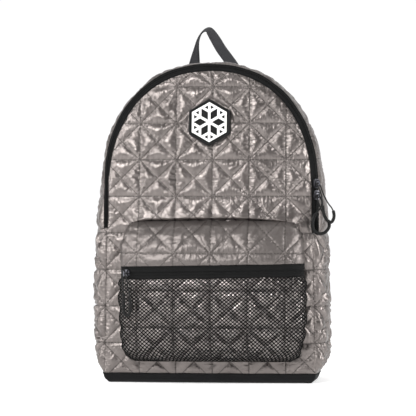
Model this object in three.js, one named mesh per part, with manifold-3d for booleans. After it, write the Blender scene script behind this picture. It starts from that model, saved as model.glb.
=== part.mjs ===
// A quilted puffer backpack that stands on its base, in millimetres: +Z is up, the front faces -Y
// and the origin is at the centre of the base's flat underside.
import * as THREE from "three";
import { mergeVertices } from "three/addons/utils/BufferGeometryUtils.js";
import Module from "manifold-3d";

const wasm = await Module();
wasm.setup();

// Sizes of the bag's body
const seamTop = 406; // top of the seam round the front and back panels
const archSpring = 250; // height where the arch begins
const seamHalfWidthLow = 136; // half-width of the seam at the floor
const seamHalfWidthHigh = 132; // half-width of the seam where the arch begins
const archPower = 2.2; // 2 is an ellipse, more is squarer
const frontSeamLow = 58; // front seam to the middle, low down
const frontSeamHigh = 44; // front seam to the middle, at the top
const leanStart = 150; // height where the front begins to lean back
const backSeam = 58; // back seam to the middle
const frontCrown = 11; // how far the front panel swells out of its seam
const backCrown = 5;
const crownPower = 2.4;
const sideBulge = 20; // how far the sides swell out of the seam at their widest
const baseHeight = 12.6;
const baseInset = 11; // how much smaller the underside is than the base's rim, all round

// Cloth
const sewnGap = 0.3; // clearance between pieces that are sewn together
const quiltWall = 4;
const quiltPuff = 3; // how far a pillow rises over its stitches
const quiltPitch = 47.6; // side of a stitched square, which has both its diagonals stitched
const quiltAcross = 4; // a column of stitches is this far right of the middle
const quiltUp = 4.5; // a row of stitches is at this height
const quiltFade = 14; // pillows flatten over this distance from a seam
const tapeWall = 2;
const backWall = 8;
const baseWall = 3;
const netWall = 1;
const netRoom = 0.8; // clearance of the net over the pillows

// Zips
const zipWidth = 12;
const zipEndLeft = 201; // height of the zip's left end
const zipEndRight = 195;

// Front pocket
const pocketMiddle = 5; // right of the bag's middle
const pocketHalfWidth = 118;
const pocketBottom = 30;
const pocketTop = 211;
const pocketDepth = 32;
const pocketPower = 5;
const pocketWall = 3;
const pocketZipHeight = 146; // middle of the zip
const pocketZipWidth = 16;
const pocketZipRise = 4; // how much higher its right end is

// Badge
const badgeHeight = seamTop - 68;
const badgeRadius = 30.5; // middle to corner
const badgeThickness = 2.2;
const badgeBorder = 4.6; // between the badge's edge and the motif's frame
const motifFrame = 2.6; // width of the motif's frame
const motifBar = 3.2;
const motifThickness = 1.2;

// Sliders and their cord pulls
const sliderLength = 12;
const sliderWidth = 8.5;
const sliderThickness = 2.4;
const bridgeHeight = 5.2;
const bridgeWire = 1.3;
const upperSliderHeight = 259;
const lowerSliderHeight = 244;
const pocketSliderInset = 8.5; // from the pocket's left side
const cordThickness = 1.8;
const gripThickness = 4.2;
const gripWall = 0.7;
const gripSides = 6;
const cordSides = 8;
const cordSteps = 25;

// Grab handle
const handleWidth = 18;
const handleWall = 1.8;
const handleRise = 66; // over the back seam's top
const handleHalfSpan = 26.6; // half the distance between its ends, middle to middle
const handleAside = -3; // right of the bag's middle

// Shoulder straps
const strapTop = 372;
const strapDrop = 214;
const strapTopAside = 42;
const strapSpread = 26;
const strapBow = 34;
const strapWidth = 62;
const strapThick = 11;
const strapEdge = 4;
const webbingWidth = 25;
const webbingWall = 1.8;
const anchorAside = seamHalfWidthLow - 24;
const anchorHeight = 44;
const anchorSize = 34;
const adjusterWidth = 33;
const adjusterLength = 26;
const adjusterThick = 4.5;
const adjusterRim = 4;
const tailLength = 90;

// The swelling of the sides by height, as shares of the seam's height and of the side bulge
const bulgeRows = [
  { at: 0.031, out: 0.25, power: 2.3 },
  { at: 0.055, out: 0.62, power: 2.3 },
  { at: 0.08, out: 0.85, power: 2.3 },
  { at: 0.14, out: 0.97, power: 2.3 },
  { at: 0.2, out: 1.0, power: 2.3 },
  { at: 0.35, out: 0.96, power: 2.3 },
  { at: 0.47, out: 0.93, power: 2.2 },
  { at: 0.56, out: 0.9, power: 2.2 },
  { at: 0.62, out: 0.79, power: 2.2 },
  { at: 0.68, out: 0.68, power: 2.4 },
  { at: 0.8, out: 0.65, power: 3.0 },
  { at: 1.0, out: 0.58, power: 4.0 },
];

// The pocket's profile by height, as shares of its height, its depth and its half-width
const pocketRows = [
  { at: 0.0, out: 0.0, wide: 0.84 },
  { at: 0.02, out: 0.4, wide: 0.9 },
  { at: 0.05, out: 0.62, wide: 0.94 },
  { at: 0.1, out: 0.82, wide: 0.965 },
  { at: 0.2, out: 0.96, wide: 0.985 },
  { at: 0.35, out: 1.0, wide: 1.0 },
  { at: 0.6, out: 0.98, wide: 1.0 },
  { at: 0.72, out: 0.92, wide: 1.0 },
  { at: 0.82, out: 0.8, wide: 0.995 },
  { at: 0.9, out: 0.62, wide: 0.975 },
  { at: 0.96, out: 0.4, wide: 0.94 },
  { at: 1.0, out: 0.0, wide: 0.87 },
];

// The grab handle's route, as shares of its half-span and rise; turn is 0 face on and 90 edge on
const handleRows = [
  { across: -1.04, up: 0.0, back: 0.0, turn: 0 },
  { across: -1.02, up: 0.1, back: 0.0, turn: 14 },
  { across: -1.0, up: 0.22, back: 0.01, turn: 38 },
  { across: -0.92, up: 0.48, back: 0.03, turn: 66 },
  { across: -0.82, up: 0.74, back: 0.05, turn: 88 },
  { across: -0.6, up: 0.91, back: 0.06, turn: 98 },
  { across: -0.28, up: 0.95, back: 0.06, turn: 122 },
  { across: 0.02, up: 0.79, back: 0.05, turn: 134 },
  { across: 0.36, up: 0.56, back: 0.03, turn: 138 },
  { across: 0.72, up: 0.36, back: 0.02, turn: 140 },
  { across: 1.0, up: 0.18, back: 0.0, turn: 148 },
  { across: 1.04, up: 0.0, back: 0.0, turn: 180 },
];

// The route of a shoulder strap, as shares of its drop, its bow and its spread
const strapRows = [
  { down: 0.0, out: 0.0, aside: 0.0 },
  { down: 0.05, out: 0.1, aside: 0.0 },
  { down: 0.14, out: 0.42, aside: 0.03 },
  { down: 0.28, out: 0.8, aside: 0.1 },
  { down: 0.45, out: 1.0, aside: 0.26 },
  { down: 0.62, out: 0.93, aside: 0.5 },
  { down: 0.8, out: 0.66, aside: 0.78 },
  { down: 1.0, out: 0.34, aside: 1.0 },
];

// The bottom tray's section, as shares of its height and of its inset
const trayRows = [
  { up: 0.0, inset: 1.0 },
  { up: 0.14, inset: 0.55 },
  { up: 0.42, inset: 0.16 },
  { up: 1.0, inset: 0.0 },
];

// Routes of the cord pulls, in millimetres from the middle of their slider's underside
const lowerPullRoute = [
  [2.8, -2.8, 0.3], [4.2, -1.6, 0.1], [5.8, -2.5, -2.7], [7.4, -5.5, -7.7],
  [7.2, -7.5, -13.1], [4.8, -8.9, -18.1], [0.5, -10.1, -23.1], [-2.7, -10.9, -29.1],
  [-4.1, -11.1, -36.6], [-3.2, -10.9, -43.7], [1.5, -10.3, -48.7], [8, -8.9, -49.5],
  [13.5, -6.9, -46.7], [17.2, -5.7, -40.5], [16.6, -5.5, -34.1], [12.8, -5.5, -27.6],
  [8.8, -5.7, -22.1], [6, -5.7, -17.1], [4, -5.7, -11.1], [2.2, -5.7, -5.1],
  [0.9, -5.3, -1.3], [1.4, -4, 0.4], [2.5, -3.1, 0.4],
];
const upperPullRoute = [
  [3, -2.6, 0.3], [4.4, -1.5, 0.1], [6.1, -2.8, -3.1], [8.7, -6.4, -10.1],
  [11.7, -9.8, -17.1], [16.4, -12.6, -25.6], [21.1, -14, -31.9], [23.7, -14.4, -38.6],
  [23.3, -14.4, -45.5], [19.9, -14.4, -49.9], [15.3, -14.4, -47.5], [11.7, -14.5, -41.7],
  [9.9, -14.6, -34.6], [9.2, -14.2, -27.1], [8.3, -12.4, -19.1], [6.5, -9.8, -11.1],
  [3.3, -7, -4.1], [1.1, -5, -0.7], [1.8, -3.7, 0.4], [2.7, -2.9, 0.3],
];
const pocketPullRoute = [
  [-1.8, -3.6, 0.5], [-2.1, -4.7, 3.3], [-3.4, -7.5, 3.7], [-4.2, -9.5, -0.1],
  [-3.8, -11.3, -8.1], [-2.8, -12.5, -18.1], [-2.1, -13.1, -29.1], [-2.2, -13.3, -40.1],
  [-1.6, -13.3, -49.1], [2, -13.5, -53.9], [5.9, -13.7, -50.3], [6.8, -13.7, -42.1],
  [5.6, -13.5, -32.1], [4, -13.1, -20.1], [2, -11.7, -10.1], [-0.1, -8.5, -4.1],
  [-1.4, -4.9, -1.9], [-1.8, -3.6, 0.1],
];

// The stretch of each route that its grip covers, as shares of the route's length
const gripStretch = {
  lower: { from: 0.24, to: 0.7 },
  upper: { from: 0.36, to: 0.72 },
  pocket: { from: 0.28, to: 0.72 },
};

const materials = {
  quilt: { color: 0x958b86, roughness: 0.42, metalness: 0.25 },
  zip: { color: 0x161617, roughness: 0.7, metalness: 0 },
  net: { color: 0x1b1b1c, roughness: 0.8, metalness: 0 },
  base: { color: 0x3b3a3c, roughness: 0.75, metalness: 0 },
  webbing: { color: 0x3a3a3d, roughness: 0.85, metalness: 0 },
  rubber: { color: 0x141415, roughness: 0.5, metalness: 0 },
  white: { color: 0xe8e8e6, roughness: 0.5, metalness: 0 },
  metal: { color: 0x2a2a2c, roughness: 0.35, metalness: 0.8 },
  plastic: { color: 0x1d1d1f, roughness: 0.55, metalness: 0 },
};

const mix = THREE.MathUtils.lerp;
const group = new THREE.Group();

// Reads a column of a table at a share, softening the corners between its rows.
function read(rows, column, share, key = "at") {
  const straight = (s) => {
    const next = rows.findIndex((row) => row[key] >= s);
    if (next === 0) return rows[0][column];
    if (next < 0) return rows.at(-1)[column];
    const [a, b] = [rows[next - 1], rows[next]];
    return mix(a[column], b[column], (s - a[key]) / (b[key] - a[key]));
  };
  const offsets = [-0.01, -0.005, 0, 0.005, 0.01];
  return offsets.reduce((sum, offset) => sum + straight(share + offset), 0) / offsets.length;
}

// Evenly spaced numbers, ends included
function steps(from, to, count) {
  return Array.from({ length: count + 1 }, (_, i) => mix(from, to, i / count));
}

// Numbers from one end to the other that fall on a lattice, with both ends
function latticeStops(from, to, step, shift) {
  const stops = [from];
  const first = Math.ceil((from - shift) / step);
  for (let k = first; shift + k * step < to; k++) {
    const stop = shift + k * step;
    if (stop - from > step * 0.35 && to - stop > step * 0.35) stops.push(stop);
  }
  stops.push(to);
  return stops;
}

// A point's place along a polyline of rows that hold a running length
function alongPolyline(line, length) {
  let i = line.findIndex((p) => p.length >= length);
  if (i < 0) i = line.length - 1;
  i = Math.max(i, 1);
  const [a, b] = [line[i - 1], line[i]];
  const share = THREE.MathUtils.clamp((length - a.length) / (b.length - a.length), 0, 1);
  return { x: mix(a.x, b.x, share), y: mix(a.y, b.y, share), dx: b.x - a.x, dy: b.y - a.y };
}

function withLengths(points) {
  let length = 0;
  return points.map((p, i) => {
    if (i > 0) length += Math.hypot(p.x - points[i - 1].x, p.y - points[i - 1].y);
    return { ...p, length };
  });
}

// The right half of the panels' seam, seen from the front, from the top down to the base
const seamLine = withLengths([
  ...steps(0, Math.PI / 2, 72).map((angle) => ({
    x: seamHalfWidthHigh * Math.sin(angle) ** (2 / archPower),
    y: archSpring + (seamTop - archSpring) * Math.cos(angle) ** (2 / archPower),
  })),
  ...steps(archSpring, baseHeight, 24)
    .slice(1)
    .map((z) => ({ x: mix(seamHalfWidthLow, seamHalfWidthHigh, z / archSpring), y: z })),
]);
const seamLength = seamLine.at(-1).length;

// A point of the seam by its distance from the top, right of the middle if positive
function seamAt(distance) {
  const side = Math.sign(distance) || 1;
  const p = alongPolyline(seamLine, Math.abs(distance));
  const size = Math.hypot(p.dx, p.dy);
  return { x: side * p.x, z: p.y, outX: (side * -p.dy) / size, outZ: p.dx / size };
}

// The seam's distance from its top where it passes a height
function seamDistance(height) {
  const i = seamLine.findIndex((p) => p.y <= height);
  const [a, b] = [seamLine[i - 1], seamLine[i]];
  return mix(a.length, b.length, (a.y - height) / (a.y - b.y));
}

function frontSeamY(z) {
  const share = THREE.MathUtils.smoothstep(z, leanStart, seamTop);
  return -mix(frontSeamLow, frontSeamHigh, share);
}

// How far a point is from the middle of a panel towards its seam, from 0 to 1
function towardsSeam(x, z) {
  if (z <= archSpring) return Math.abs(x) / mix(seamHalfWidthLow, seamHalfWidthHigh, z / archSpring);
  const across = Math.abs(x) / seamHalfWidthHigh;
  const up = (z - archSpring) / (seamTop - archSpring);
  return (across ** archPower + up ** archPower) ** (1 / archPower);
}

function crownShare(x, z) {
  const low = mix(0.35, 1, THREE.MathUtils.smoothstep(z, baseHeight, seamTop / 4));
  return low * Math.max(0, 1 - towardsSeam(x, z) ** crownPower);
}

const frontY = (x, z) => frontSeamY(z) - frontCrown * crownShare(x, z);
const backY = (x, z) => backSeam + backCrown * crownShare(x, z);

// The strip between the front and back seams, cut across: x is out of the seam and y is depth
function stripProfile(z) {
  const share = z / seamTop;
  const bulge = sideBulge * read(bulgeRows, "out", share);
  const power = read(bulgeRows, "power", share);
  const [front, back] = [frontSeamY(z), backSeam];
  return withLengths(
    steps(0, Math.PI, 64).map((angle) => {
      const [c, s] = [Math.cos(angle), Math.sin(angle)];
      return {
        x: sewnGap + bulge * Math.abs(s) ** (2 / power),
        y: (front + back) / 2 + ((back - front) / 2) * -Math.sign(c) * Math.abs(c) ** (2 / power),
      };
    }),
  );
}

const stripWidth = (distance) => stripProfile(seamAt(distance).z).at(-1).length;

// A point of the strip by its distance along the seam and from the front seam, lifted off its face
function stripAt(distance, inwards, lift) {
  const seam = seamAt(distance);
  const profile = stripProfile(seam.z);
  const p = alongPolyline(profile, inwards);
  const way = new THREE.Vector2(p.dx, p.dy).normalize();
  if (inwards <= 0) way.set(1, 0);
  if (inwards >= profile.at(-1).length) way.set(-1, 0);
  const out = p.x + lift * way.y;
  return new THREE.Vector3(seam.x + seam.outX * out, p.y - lift * way.x, seam.z + seam.outZ * out);
}

// The height of the quilting over its stitches, from 0 to 1, at a place on the cloth
function pillow(across, up) {
  const from = (value) => Math.abs(value / quiltPitch - Math.floor(value / quiltPitch) - 0.5);
  const [a, b] = [from(across), from(up)];
  const toDiagonal = Math.abs(a - b) / Math.SQRT2;
  const toSide = 0.5 - Math.max(a, b);
  const inCircle = (Math.SQRT2 - 1) / 2;
  return Math.sqrt(Math.min(toDiagonal, toSide, inCircle * 0.85) / (inCircle * 0.85));
}

const nearSeam = (distance) => THREE.MathUtils.smoothstep(distance, 0, quiltFade);

// One closed shell between two grids of points, the outer and the inner face
function closedShell(us, vs, outer, inner) {
  const points = [outer, inner].flatMap((face) => vs.flatMap((v) => us.map((u) => face(u, v))));
  const [across, face] = [us.length, us.length * vs.length];
  const index = [];
  const quad = (a, b, c, d) => index.push(a, b, c, a, c, d);
  const middle = (a, b) => points[a].clone().add(points[b]);
  for (let j = 0; j < vs.length - 1; j++) {
    for (let i = 0; i < us.length - 1; i++) {
      const a = j * across + i;
      const [b, c, d] = [a + 1, a + across + 1, a + across];
      const out = points[a].clone().sub(points[a + face]);
      const lower = middle(b, d).sub(middle(a, c)).dot(out) < 0;
      if (lower) quad(b, c, d, a);
      else quad(a, b, c, d);
      quad(a + face, d + face, c + face, b + face);
    }
  }
  const rim = [];
  for (let i = 0; i < across - 1; i++) rim.push(i);
  for (let j = 0; j < vs.length - 1; j++) rim.push(j * across + across - 1);
  for (let i = across - 1; i > 0; i--) rim.push((vs.length - 1) * across + i);
  for (let j = vs.length - 1; j > 0; j--) rim.push(j * across);
  rim.forEach((a, k) => {
    const b = rim[(k + 1) % rim.length];
    quad(b, a, a + face, b + face);
  });
  return geometryFrom(points, index);
}

// A geometry whose faces point out
function geometryFrom(points, index) {
  let volume = 0;
  for (let i = 0; i < index.length; i += 3) {
    const [a, b, c] = [points[index[i]], points[index[i + 1]], points[index[i + 2]]];
    volume += a.clone().cross(b).dot(c);
  }
  if (volume < 0) index.reverse();
  const geometry = new THREE.BufferGeometry();
  geometry.setAttribute("position", new THREE.Float32BufferAttribute(points.flatMap((p) => [...p]), 3));
  geometry.setIndex(index);
  geometry.computeVertexNormals();
  return geometry;
}

function solidFrom(geometry) {
  const bare = new THREE.BufferGeometry();
  bare.setAttribute("position", geometry.getAttribute("position"));
  if (geometry.index) bare.setIndex(geometry.index);
  const merged = mergeVertices(bare, 1e-4);
  return new wasm.Manifold(
    new wasm.Mesh({
      numProp: 3,
      vertProperties: merged.attributes.position.array,
      triVerts: new Uint32Array(merged.index.array),
    }),
  );
}

function geometryOfSolid(solid, place = (p) => p) {
  const mesh = solid.getMesh();
  const points = [];
  for (let i = 0; i < mesh.numVert; i++) {
    const at = i * mesh.numProp;
    points.push(place(new THREE.Vector3(...mesh.vertProperties.subarray(at, at + 3))));
  }
  return geometryFrom(points, [...mesh.triVerts]);
}

function extruded(outline, depth, holes = []) {
  const shape = new THREE.Shape(outline);
  shape.holes = holes.map((hole) => new THREE.Path(hole));
  return new THREE.ExtrudeGeometry(shape, { depth, bevelEnabled: false });
}

function addPiece(name, geometry, material) {
  const mesh = new THREE.Mesh(geometry, new THREE.MeshStandardMaterial(materials[material]));
  mesh.name = name;
  group.add(mesh);
  return mesh;
}

// A flat slab of quilting over a range of whole squares, each with a raised centre in its four
// triangles: x is across, y is up and z is the height over the stitches.
function quiltedSlab(columns, rows) {
  const points = [];
  const index = [];
  const add = (x, y, z) => points.push(new THREE.Vector3(x, y, z)) - 1;
  const corner = (i, j, z) => add(quiltAcross + i * quiltPitch, quiltUp + j * quiltPitch, z);
  for (let j = rows.from; j < rows.to; j++) {
    for (let i = columns.from; i < columns.to; i++) {
      const places = [[i, j], [i + 1, j], [i + 1, j + 1], [i, j + 1]];
      const top = places.map(([a, b]) => corner(a, b, 0));
      const low = places.map(([a, b]) => corner(a, b, -quiltWall));
      const centre = corner(i + 0.5, j + 0.5, 0);
      index.push(low[0], low[2], low[1], low[0], low[3], low[2]);
      places.forEach((place, k) => {
        const next = (k + 1) % 4;
        const peak = corner(
          (place[0] + places[next][0] + i + 0.5) / 3,
          (place[1] + places[next][1] + j + 0.5) / 3,
          quiltPuff,
        );
        index.push(top[k], top[next], peak, top[next], centre, peak, centre, top[k], peak);
        const open = [j === rows.from, i === columns.to - 1, j === rows.to - 1, i === columns.from][k];
        if (open) index.push(low[k], low[next], top[next], low[k], top[next], top[k]);
      });
    }
  }
  return geometryFrom(points, index);
}

// The outline of the front and back panels, seen from the front
function panelOutline() {
  const right = seamLine.filter((_, i) => i % 3 === 0 || i === seamLine.length - 1);
  const bottom = baseHeight + sewnGap / 2;
  const lifted = right.map((p) => new THREE.Vector2(p.x, Math.max(p.y, bottom)));
  const left = lifted.slice(1).reverse();
  return [...left.map((p) => new THREE.Vector2(-p.x, p.y)), ...lifted];
}

// Puts a flat piece onto a panel that is y over x and z; z of the flat piece is its lift
function onPanel(surface, out) {
  const small = 0.5;
  return (p) => {
    const slopeX = (surface(p.x + small, p.y) - surface(p.x - small, p.y)) / (2 * small);
    const slopeZ = (surface(p.x, p.y + small) - surface(p.x, p.y - small)) / (2 * small);
    const normal = new THREE.Vector3(-slopeX, 1, -slopeZ).multiplyScalar(out).normalize();
    return new THREE.Vector3(p.x, surface(p.x, p.y), p.y).addScaledVector(normal, p.z);
  };
}

function frontPanel() {
  const aside = Math.ceil((seamHalfWidthLow + quiltAcross) / quiltPitch) + 1;
  const up = Math.ceil((seamTop - quiltUp) / quiltPitch);
  const slab = solidFrom(quiltedSlab({ from: -aside, to: aside }, { from: 0, to: up }));
  const tall = extruded(panelOutline(), 4 * quiltWall).translate(0, 0, -2 * quiltWall);
  const place = onPanel(frontY, -1);
  const geometry = geometryOfSolid(slab.intersect(solidFrom(tall)), (p) => {
    const fade = nearSeam((1 - towardsSeam(p.x, p.y)) * seamHalfWidthHigh);
    return place(new THREE.Vector3(p.x, p.y, p.z > 0 ? p.z * fade : p.z));
  });
  addPiece("front_panel", geometry, "quilt");
}

// A panel's point from shares across and up, which run round its seam on three sides
function panelGrid(u, v) {
  const shoulder = seamDistance(mix(archSpring, seamTop, 0.62));
  const bottom = baseHeight + sewnGap / 2;
  const side = (sign, share) => seamAt(sign * mix(seamLength, shoulder, share));
  const [left, right, top] = [side(-1, v), side(1, v), seamAt(shoulder * u)];
  const low = { x: seamHalfWidthLow * u, z: bottom };
  const share = (u + 1) / 2;
  const corners = [side(-1, 0), side(1, 0), side(-1, 1), side(1, 1)];
  const coons = (key) =>
    mix(low[key], top[key], v) +
    mix(left[key], right[key], share) -
    mix(mix(corners[0][key], corners[1][key], share), mix(corners[2][key], corners[3][key], share), v);
  return { x: coons("x"), z: Math.max(coons("z"), bottom) };
}

function backPanel() {
  const place = onPanel(backY, 1);
  const face = (lift) => (u, v) => {
    const { x, z } = panelGrid(u, v);
    return place(new THREE.Vector3(x, z, lift));
  };
  addPiece("back_panel", closedShell(steps(-1, 1, 8), steps(0, 1, 8), face(0), face(-backWall)), "quilt");
}

// A quilted piece of the strip, between two distances along the seam, with so many squares across
function quiltedStrip(name, from, to, startInwards, squares) {
  const step = quiltPitch / 4;
  const us = latticeStops(from, to, step, 0);
  const vs = steps(0, 1, 4 * squares);
  const face = (lift, puff) => (u, v) => {
    const width = stripWidth(u);
    const inwards = mix(startInwards, width, v);
    const edge = Math.min(inwards - startInwards, width - inwards, u - from, to - u);
    const height = puff * pillow(u, v * (vs.length - 1) * step) * nearSeam(Math.max(edge, 0));
    return stripAt(u, inwards, lift + height);
  };
  addPiece(name, closedShell(us, vs, face(0, quiltPuff), face(-quiltWall, 0)), "quilt");
}

function strips() {
  const [left, right] = [-seamDistance(zipEndLeft), seamDistance(zipEndRight)];
  const half = sewnGap / 2;
  const face = (lift) => (u, v) => stripAt(u, mix(0, zipWidth, v), lift);
  const along = steps(left + half, right - half, 38);
  addPiece("main_zip", closedShell(along, [0, 0.5, 1], face(0), face(-tapeWall)), "zip");
  quiltedStrip("top_gusset", left + half, right - half, zipWidth + sewnGap, 2);
  quiltedStrip("left_side_panel", -seamLength + half, left - half, 0, 2.5);
  quiltedStrip("right_side_panel", right + half, seamLength - half, 0, 2.5);
}

// The base's rim, seen from above and going round from the front's left corner
function rimOutline() {
  const width = seamHalfWidthLow - sewnGap / 2;
  const across = steps(-width, width, 10);
  const profile = stripProfile(baseHeight);
  const total = profile.at(-1).length;
  const sides = steps(0, total, 8)
    .slice(1, -1)
    .map((length) => alongPolyline(profile, length));
  return [
    ...across.map((x) => new THREE.Vector2(x, frontY(x, baseHeight))),
    ...sides.map((p) => new THREE.Vector2(seamHalfWidthLow + p.x, p.y)),
    ...across.map((x) => new THREE.Vector2(-x, backY(x, baseHeight))),
    ...sides.reverse().map((p) => new THREE.Vector2(-seamHalfWidthLow - p.x, p.y)),
  ];
}

// The rim moved inwards by a distance
function insetOutline(outline, distance) {
  return outline.map((p, i) => {
    const before = outline.at(i - 1);
    const after = outline[(i + 1) % outline.length];
    const along = after.clone().sub(before).normalize();
    return new THREE.Vector2(p.x - along.y * distance, p.y + along.x * distance);
  });
}

function base() {
  const rim = rimOutline();
  const top = baseHeight - sewnGap / 2;
  const outer = trayRows.map((row) => ({ z: row.up * top, inset: row.inset * baseInset }));
  const inner = outer.map((row) => ({ z: Math.max(row.z, baseWall), inset: row.inset + baseWall })).reverse();
  inner[0].z = top;
  const rings = [...outer, ...inner.filter((row, i) => i === 0 || row.z < inner[i - 1].z)];
  const points = rings.flatMap((row) =>
    insetOutline(rim, row.inset).map((p) => new THREE.Vector3(p.x, p.y, row.z)),
  );
  const index = [];
  const around = rim.length;
  for (let j = 0; j < rings.length - 1; j++) {
    for (let i = 0; i < around; i++) {
      const [a, b] = [j * around + i, j * around + ((i + 1) % around)];
      index.push(a, b, b + around, a, b + around, a + around);
    }
  }
  const cap = (ring, flip) => {
    const middle = points.push(new THREE.Vector3(0, 0, rings[ring].z)) - 1;
    for (let i = 0; i < around; i++) {
      const [a, b] = [ring * around + i, ring * around + ((i + 1) % around)];
      index.push(...(flip ? [b, a, middle] : [a, b, middle]));
    }
  };
  cap(0, true);
  cap(rings.length - 1, false);
  addPiece("base", geometryFrom(points, index), "base");
}

// The pocket's outside, or a larger or smaller copy of it: angle runs across from 0 to 180 degrees
// and share runs up.
function pocketSurface(grow) {
  return (angle, share) => {
    const [c, s] = [Math.cos(angle), Math.sin(angle)];
    const across = -Math.sign(c) * Math.abs(c) ** (2 / pocketPower);
    const wide = (pocketHalfWidth + grow) * read(pocketRows, "wide", share);
    const x = pocketMiddle + wide * across;
    const z = mix(pocketBottom - grow, pocketTop + grow, share);
    const out = (pocketDepth + grow) * read(pocketRows, "out", share) * s ** (2 / pocketPower);
    return new THREE.Vector3(x, frontY(x, z) - quiltPuff - sewnGap - out, z);
  };
}

// Angles across the pocket: its two side walls, and lattice lines between them
function pocketAngles() {
  const walls = [0, 0.04, 0.16].map((share) => Math.asin(share));
  const reach = Math.cos(walls.at(-1)) ** (2 / pocketPower) - 0.02;
  const low = pocketMiddle - pocketHalfWidth * reach;
  const high = pocketMiddle + pocketHalfWidth * reach;
  const middle = latticeStops(low, high, quiltPitch / 4, quiltAcross).map((x) => {
    const share = (pocketMiddle - x) / pocketHalfWidth;
    return Math.acos(Math.sign(share) * Math.abs(share) ** (pocketPower / 2));
  });
  return [...walls, ...middle.slice(1, -1), ...walls.map((angle) => Math.PI - angle).reverse()];
}

const pocketHeight = pocketTop - pocketBottom;

// The zip's lower or upper edge across the pocket, as a share of its height
function zipEdge(angle, side) {
  const across = -Math.sign(Math.cos(angle)) * Math.abs(Math.cos(angle)) ** (2 / pocketPower);
  const height = pocketZipHeight + (side * pocketZipWidth) / 2 + (across * pocketZipRise) / 2;
  return (height - pocketBottom) / pocketHeight;
}

function pocketPuff(angle, share) {
  const p = pocketSurface(0)(angle, share);
  const wall = pocketHalfWidth * read(pocketRows, "wide", share) - Math.abs(p.x - pocketMiddle);
  const fromZip = Math.abs(p.z - pocketZipHeight) - pocketZipWidth / 2;
  const edge = Math.min(wall, p.z - pocketBottom, pocketTop - p.z, fromZip);
  return quiltPuff * pillow(p.x - quiltAcross, p.z - quiltUp) * nearSeam(Math.max(edge, 0));
}

// A piece of the pocket between two heights, given as shares that may change across it
function pocketPiece(name, material, wall, from, to, stops, puffed) {
  const all = pocketAngles();
  const wallStops = 6;
  const flat = { from: wallStops, to: all.length - 1 - wallStops };
  const angles = all.filter((_, i) => puffed || i < flat.from || i > flat.to || i % 2 === 0);
  const place = (surface, puff) => (angle, v) => {
    const share = mix(from(angle), to(angle), v);
    const p = surface(angle, share);
    if (puff) p.y -= pocketPuff(angle, share);
    return p;
  };
  const outer = place(pocketSurface(wall.outer), puffed);
  const inner = place(pocketSurface(wall.inner), false);
  addPiece(name, closedShell(angles, stops, outer, inner), material);
}

function pocket() {
  const gap = sewnGap / 2 / pocketHeight;
  const quilted = { outer: 0, inner: -pocketWall };
  const tape = { outer: -0.5, inner: -tapeWall };
  const net = { outer: quiltPuff + netRoom + netWall, inner: quiltPuff + netRoom };
  const low = (angle) => zipEdge(angle, -1);
  const high = (angle) => zipEdge(angle, 1);
  const bottomUp = [0, 0.035, 0.09, 0.2, 0.31, 0.42, 0.54, 0.66, 0.77, 0.88, 1];
  const zipUp = [0, 0.2, 0.4, 0.6, 0.75, 0.87, 0.95, 1];
  pocketPiece("pocket_lower", "quilt", quilted, () => 0, (a) => low(a) - gap, bottomUp, true);
  pocketPiece("pocket_zip", "zip", tape, (a) => low(a) + gap, (a) => high(a) - gap, steps(0, 1, 2), false);
  pocketPiece("pocket_upper", "quilt", quilted, (a) => high(a) + gap, () => 1, zipUp, true);
  pocketPiece("pocket_mesh", "net", net, () => 0, (a) => low(a) - gap, bottomUp, false);
}

// A flat outline of points round a middle, as rings from the middle out
function discRings(outline, count) {
  return steps(0, 1, count).slice(1).map((share) => outline.map((p) => p.clone().multiplyScalar(share)));
}

// The outline of a hexagon with a corner at the top, each side in equal steps
function hexagon(radius, stepsPerSide = 1) {
  const corners = steps(0, 6, 6).map((k) => {
    const angle = Math.PI / 2 + (k * Math.PI) / 3;
    return new THREE.Vector2(Math.cos(angle) * radius, Math.sin(angle) * radius);
  });
  const shares = steps(0, 1, stepsPerSide).slice(0, -1);
  return corners.slice(0, -1).flatMap((p, k) => shares.map((share) => p.clone().lerp(corners[k + 1], share)));
}

// The outline of a six-armed snow star, each arm with one pair of short branches
function snowStar(radius, bar) {
  const half = bar / 2;
  const branch = { from: 0.52 * radius, reach: 0.3 * radius };
  const [rise, run] = [Math.sin(Math.PI / 6), Math.cos(Math.PI / 6)];
  const tip = { x: half + branch.reach, y: branch.from + (branch.reach * rise) / run };
  const side = [
    { x: half, y: (half * run) / rise },
    { x: half, y: branch.from },
    { x: tip.x, y: tip.y },
    { x: tip.x - bar * rise, y: tip.y + bar * run },
    { x: half, y: branch.from + bar / run },
    { x: half, y: radius - half },
    { x: 0, y: radius },
  ];
  const arm = [...side, ...side.slice(1, -1).reverse().map((p) => ({ x: -p.x, y: p.y }))];
  return steps(0, 6, 6).slice(0, -1).flatMap((k) => {
    const turn = (k * Math.PI) / 3;
    return arm.map((p) => new THREE.Vector2(p.x, p.y).rotateAround(new THREE.Vector2(), turn));
  });
}

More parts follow.
